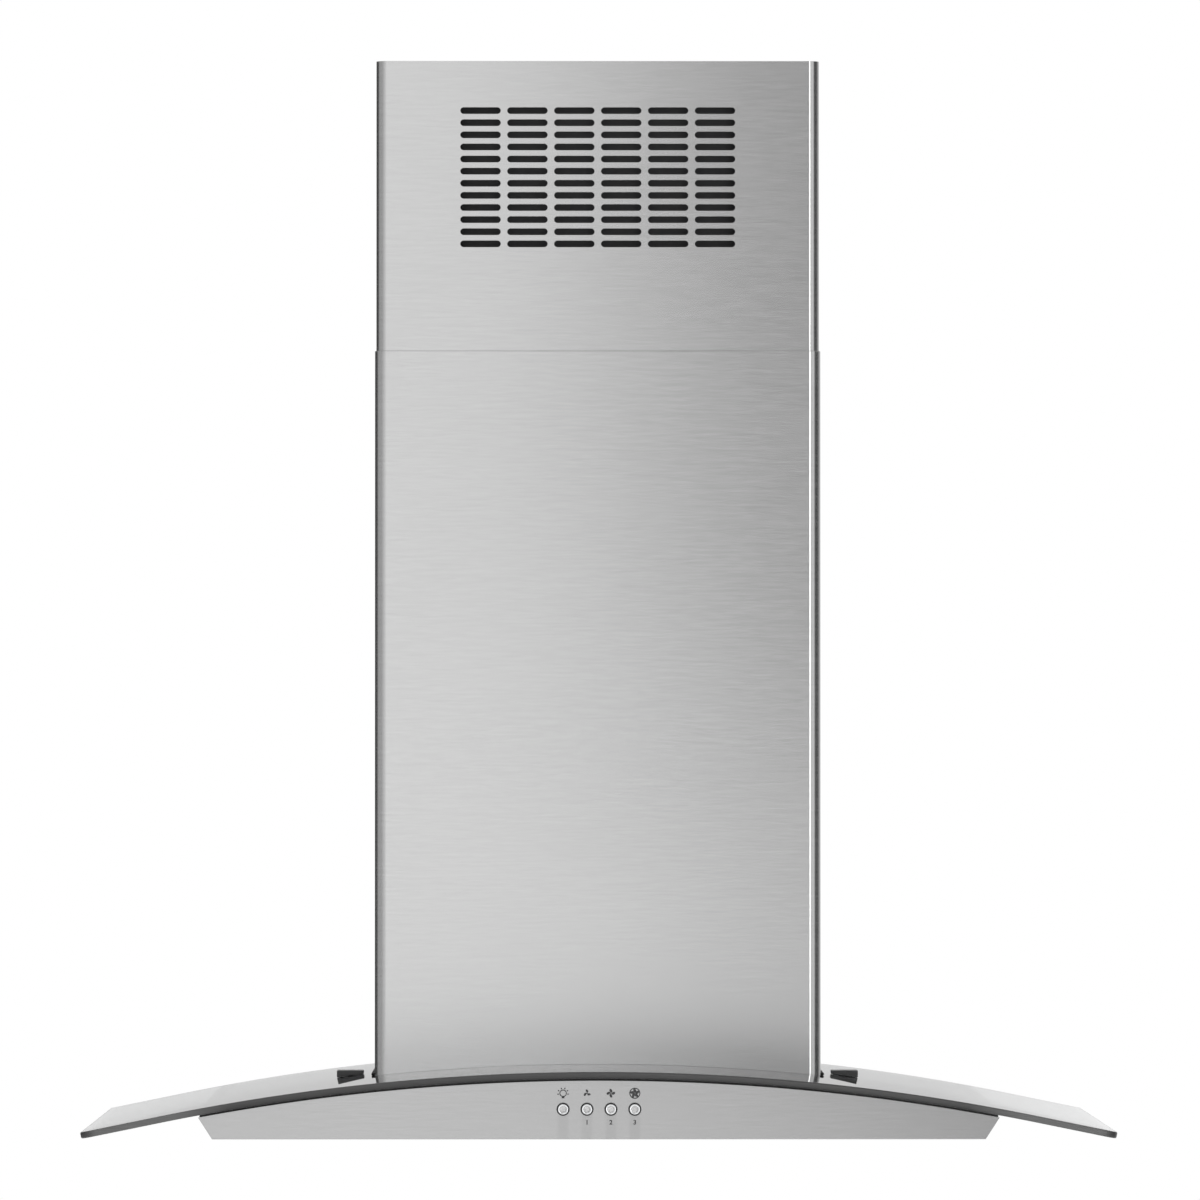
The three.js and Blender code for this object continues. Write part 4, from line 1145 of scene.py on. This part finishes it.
# %% Expanded metal
DIAMOND = (11 * MM, 5.5 * MM)
DIAMONDS_ACROSS = 96
STRAND = 0.6 * MM
LATTICE_HEIGHT = 1.85 * MM     # over the frame's lower face
LATTICE_MARGIN = 9 * MM        # from the frame's outside; the rest lies under the rail
LATCH_HALF = 20.5 * MM
LATCH_DEPTH = 26.5 * MM


def diamond_grid(name, centre):
    grid = added(
        bpy.ops.mesh.primitive_grid_add,
        x_subdivisions=DIAMONDS_ACROSS,
        y_subdivisions=DIAMONDS_ACROSS,
        size=DIAMONDS_ACROSS * DIAMOND[0] / math.sqrt(2),
        rotation=(0, 0, math.pi / 4),
    )
    sheet = settle(grid, name)
    sheet.scale.y = DIAMOND[1] / DIAMOND[0]
    sheet.location = centre
    return settle(sheet, name)


def expanded_sheet(side):
    low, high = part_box("filter_frame_" + side)
    middle = [(a + b) / 2 for a, b in zip(low, high)]
    centre = (middle[0], middle[1], low[2] + LATTICE_HEIGHT)
    sheet = diamond_grid("filter_lattice_" + side, centre)
    edges = (
        ((low[0] + LATTICE_MARGIN, 0, 0), (-1, 0, 0)),
        ((high[0] - LATTICE_MARGIN, 0, 0), (1, 0, 0)),
        ((0, low[1] + LATTICE_MARGIN, 0), (0, -1, 0)),
        ((0, high[1] - LATTICE_MARGIN, 0), (0, 1, 0)),
    )
    latch_back = low[1] + LATCH_DEPTH
    with Editing(sheet) as edit:
        for point, outward in edges:
            edit.bisect_all(point, outward, clear_outer=True)
        edit.bisect_all((0, latch_back, 0), (0, 1, 0))
        for sign in (-1, 1):
            edit.pick_faces(lambda centre, normal: centre.y < latch_back)
            notch_side = (middle[0] + sign * LATCH_HALF, 0, 0)
            bpy.ops.mesh.bisect(plane_co=notch_side, plane_no=(1, 0, 0))
        edit.pick_faces(
            lambda centre, normal: centre.y < latch_back and abs(centre.x - middle[0]) < LATCH_HALF
        )
        bpy.ops.mesh.delete(type="FACE")
    finish_modifier(sheet, "WIREFRAME", thickness=STRAND, use_even_offset=False, use_boundary=True)
    return show(sheet, side + "_filter", "aluminium", aluminium)


for side in ("right", "left"):
    sheet = expanded_sheet(side)
    print(sheet.name, "has", len(sheet.data.polygons), "faces")

# %% [markdown]
# ## Everything else from the frame
# Many inner pieces already have their real shape. Each gets a finer copy: doubles merged, flat
# faces dissolved into one, edges broken with a bevel and round stretches shaded smooth.

# %% Refined copies
EDGE_BREAK = 0.25 * MM
SAME_POINT = 0.01 * MM


def refined(node, body, slot, material):
    source = frame["nodes"][node]
    copy = source.copy()
    copy.data = source.data.copy()
    copy.parent = None
    bpy.context.scene.collection.objects.link(copy)
    settle(copy, node + "_part")
    with Editing(copy):
        bpy.ops.mesh.select_all(action="SELECT")
        bpy.ops.mesh.remove_doubles(threshold=SAME_POINT)
        bpy.ops.mesh.dissolve_limited(angle_limit=math.radians(1))
    round_edges(copy, EDGE_BREAK, 2, 35)
    smooth(copy)
    return show(copy, body, slot, material, node)


SLOT_FINISH = {
    "stainless": steel_flat,
    "galvanised": galvanised,
    "aluminium": aluminium,
    "chrome": chrome,
    "black_rubber": black_rubber,
    "black_plastic": black_plastic,
    "grey_plastic": grey_plastic,
    "dark_steel": dark_steel,
    "lens": frosted.material,
    "board": board_green,
    "canopy_glass": glass.material,
}
SPECIAL_FINISH = {
    "fan_motor": enamel,
    "filter_mesh_right": knitted,
    "filter_mesh_left": knitted,
}
node_slot = {part["node"]: part["material_slot"] for part in frame["record"]["subparts"]}
node_body = {
    node: body
    for body, nodes in frame["record"]["behaviour"]["bodies"].items()
    for node in nodes
}
replaced = {
    "glass_canopy", "glass_seal", "top_deck", "front_panel",
    "lower_chimney_cover", "upper_chimney_cover", "glass_clamp_right", "glass_clamp_left",
    *(use + part for use in USES for part in ("_bezel", "_button")),
}
for node in sorted(set(node_slot) - replaced):
    material = SPECIAL_FINISH.get(node, SLOT_FINISH[node_slot[node]])
    refined(node, node_body[node], node_slot[node], material)
print(len(node_slot) - len(replaced), "pieces refined")

# %% [markdown]
# ## The studio
# Polished metal shows the room, so the room is drawn for it. The camera sees plain white, and so
# does light that has passed through the glass. Reflections see tones that change with the compass
# direction: a narrow bright strip to the right of the camera, which draws the white line down the
# chimney's bend, dark flags at both sides, and a light wall behind that the glass mirrors.

# %% The room, by direction
ROOM_TONES = (
    # the wall behind the hood, as far as the left flag
    (-180, 0.65), (-177.2, 0.67), (-175.8, 0.8), (-168, 0.77),
    # the left flag, and the softer side behind it
    (-158, 0.06), (-106, 0.06), (-90, 0.42), (-50, 0.47),
    # the wall behind the camera, at 0
    (-38, 0.64), (-25, 0.8), (-12, 0.98), (0, 0.75), (6, 0.42), (8, 0.42),
    # the bright strip, and the wall beside it
    (10, 4.2), (16, 4.2), (18, 0.8), (54, 0.84),
    # the right flag
    (63, 0.04), (90, 0.02), (106, 0.16), (125, 0.5),
    # and round to the wall behind the hood
    (150, 0.8), (175.8, 0.9), (177.2, 0.67), (180, 0.65),
)
SOFT_FILL = 0.62
OVERHEAD = 0.6                 # the flags and the strip are low; above and below it is even
LOW_SINE = 0.015               # squared sine of the height where the tones start to even out
HIGH_SINE = 0.2


def studio_world():
    world = bpy.data.worlds.new("studio")
    bpy.context.scene.world = world
    room = Recipe(world)
    direction = room.make("ShaderNodeTexCoord", output="Generated")
    towards_camera = 0 - room.axis("Y", direction)
    compass = room.maths("ARCTAN2", room.axis("X", direction), towards_camera)
    stops = [(degrees / 360 + 0.5, tone) for degrees, tone in ROOM_TONES]
    turn = compass / (2 * math.pi) + 0.5
    tones = room.make("ShaderNodeValToRGB", {"stops": stops}, {"Fac": turn})
    height = room.axis("Z", direction)
    off_level = room.between(height * height, LOW_SINE, HIGH_SINE, soft=True)
    tones = tones + (OVERHEAD - tones) * off_level
    by_mirror = room.ray("Is Glossy Ray")
    white = room.maths("MAXIMUM", room.ray("Is Camera Ray"), room.ray("Is Transmission Ray"))
    mirrored_room = tones * by_mirror
    fill = SOFT_FILL * (1 - by_mirror)
    level = white + (1 - white) * (mirrored_room + fill)
    glow = room.make("ShaderNodeBackground", {}, {"Color": grey(1.0), "Strength": level})
    output = room.tree.nodes.new("ShaderNodeOutputWorld")
    room.tree.links.new(glow.socket, output.inputs["Surface"])


studio_world()
bpy.context.scene.view_settings.view_transform = "Standard"
print("room drawn with", len(ROOM_TONES), "tones")

# %% [markdown]
# A tall diffuser stands in front of the hood. The chimney's flat face mirrors it, and because it
# is near, the face shows its fall of light from left to right. It is hidden from the camera.

# %% Diffuser
DIFFUSER_Y = -2.6
DIFFUSER = (-0.5, 0.42, -1.6, 2.6)    # left, right, bottom and top
DIFFUSER_GLOW = 1.2


def diffuser_tone(light):
    """Full at the left and falling to the right, by an amount that changes with the height."""
    here = light.place()
    upward = light.axis("Z", here)
    lofty = light.between(upward, 1.4, 2.0)
    relief = light.between(upward, 0.6, 0.9, 0.0, 0.26)
    # the fall stands further right near the foot, and further left at the top
    foot_shift = light.between(upward, -0.25, 0.15, 0.28, 0.0)
    across = light.axis("X", here) - foot_shift + lofty * 0.14 + relief * 0.14
    fall = light.between(across, -0.13, 0.27, soft=True)
    # it is shallow at the foot, deep over the middle, and a little shallower at the slots
    depth = light.between(upward, -0.1, 0.39, 0.38, 0.79) - relief + lofty * 0.43
    low_glow = light.between(upward, -0.3, 0.2, 1.06, 0.8, soft=True)
    top_glow = light.between(upward, 0.3, 1.0, 0.0, 0.12)
    return (low_glow + top_glow) * (1.0 - depth * fall)


def diffuser():
    left, right, bottom, top = DIFFUSER
    screen = added(
        bpy.ops.mesh.primitive_plane_add,
        size=1,
        location=((left + right) / 2, DIFFUSER_Y, (bottom + top) / 2),
        rotation=TURN["y"],
    )
    screen.scale = (right - left, top - bottom, 1)
    settle(screen, "diffuser")
    light = Finish("diffuser light", Base_Color=grey(0), Specular_IOR_Level=0.0)
    light.set(Emission_Strength=DIFFUSER_GLOW)
    light.set(Emission_Color=light.as_colour(diffuser_tone(light)))
    screen.data.materials.append(light.material)
    screen.visible_camera = False


diffuser()
print("diffuser ready")

# %% [markdown]
# The floor is pale. It fades out a few metres away, and it can be seen through from below.

# %% Floor
FLOOR_SIDE = 12
FLOOR_Z = UNDERSIDE - 0.65
FLOOR_FADES = (1.2, 4.5)       # metres from the hood


def studio_floor():
    ground = Finish("studio floor", Roughness=0.9, Emission_Strength=0.3)
    seen = ground.ray("Is Camera Ray")
    for way in ("Is Glossy Ray", "Is Transmission Ray"):
        seen = ground.maths("MAXIMUM", seen, ground.ray(way))
    ground.set(Emission_Color=ground.as_colour(seen))
    shade = ground.noise((0.6, 0.6, 0.6), 2)
    ground.set(Base_Color=ground.mixed(grey(0.9), grey(0.94), shade))
    flat_place = {0: ground.place(scale=(1, 1, 0))}
    distance = ground.make(
        "ShaderNodeVectorMath", {"operation": "LENGTH"}, flat_place, output="Value"
    )
    near = ground.between(distance, *FLOOR_FADES, 1.0, 0.0, soft=True)
    underneath = ground.make("ShaderNodeNewGeometry", output="Backfacing")
    ground.set(Alpha=near * (1 - underneath))
    plane = added(bpy.ops.mesh.primitive_plane_add, size=FLOOR_SIDE, location=(0, 0, FLOOR_Z))
    floor = settle(plane, "studio_floor")
    floor.data.materials.append(ground.material)


studio_floor()
print("floor ready")
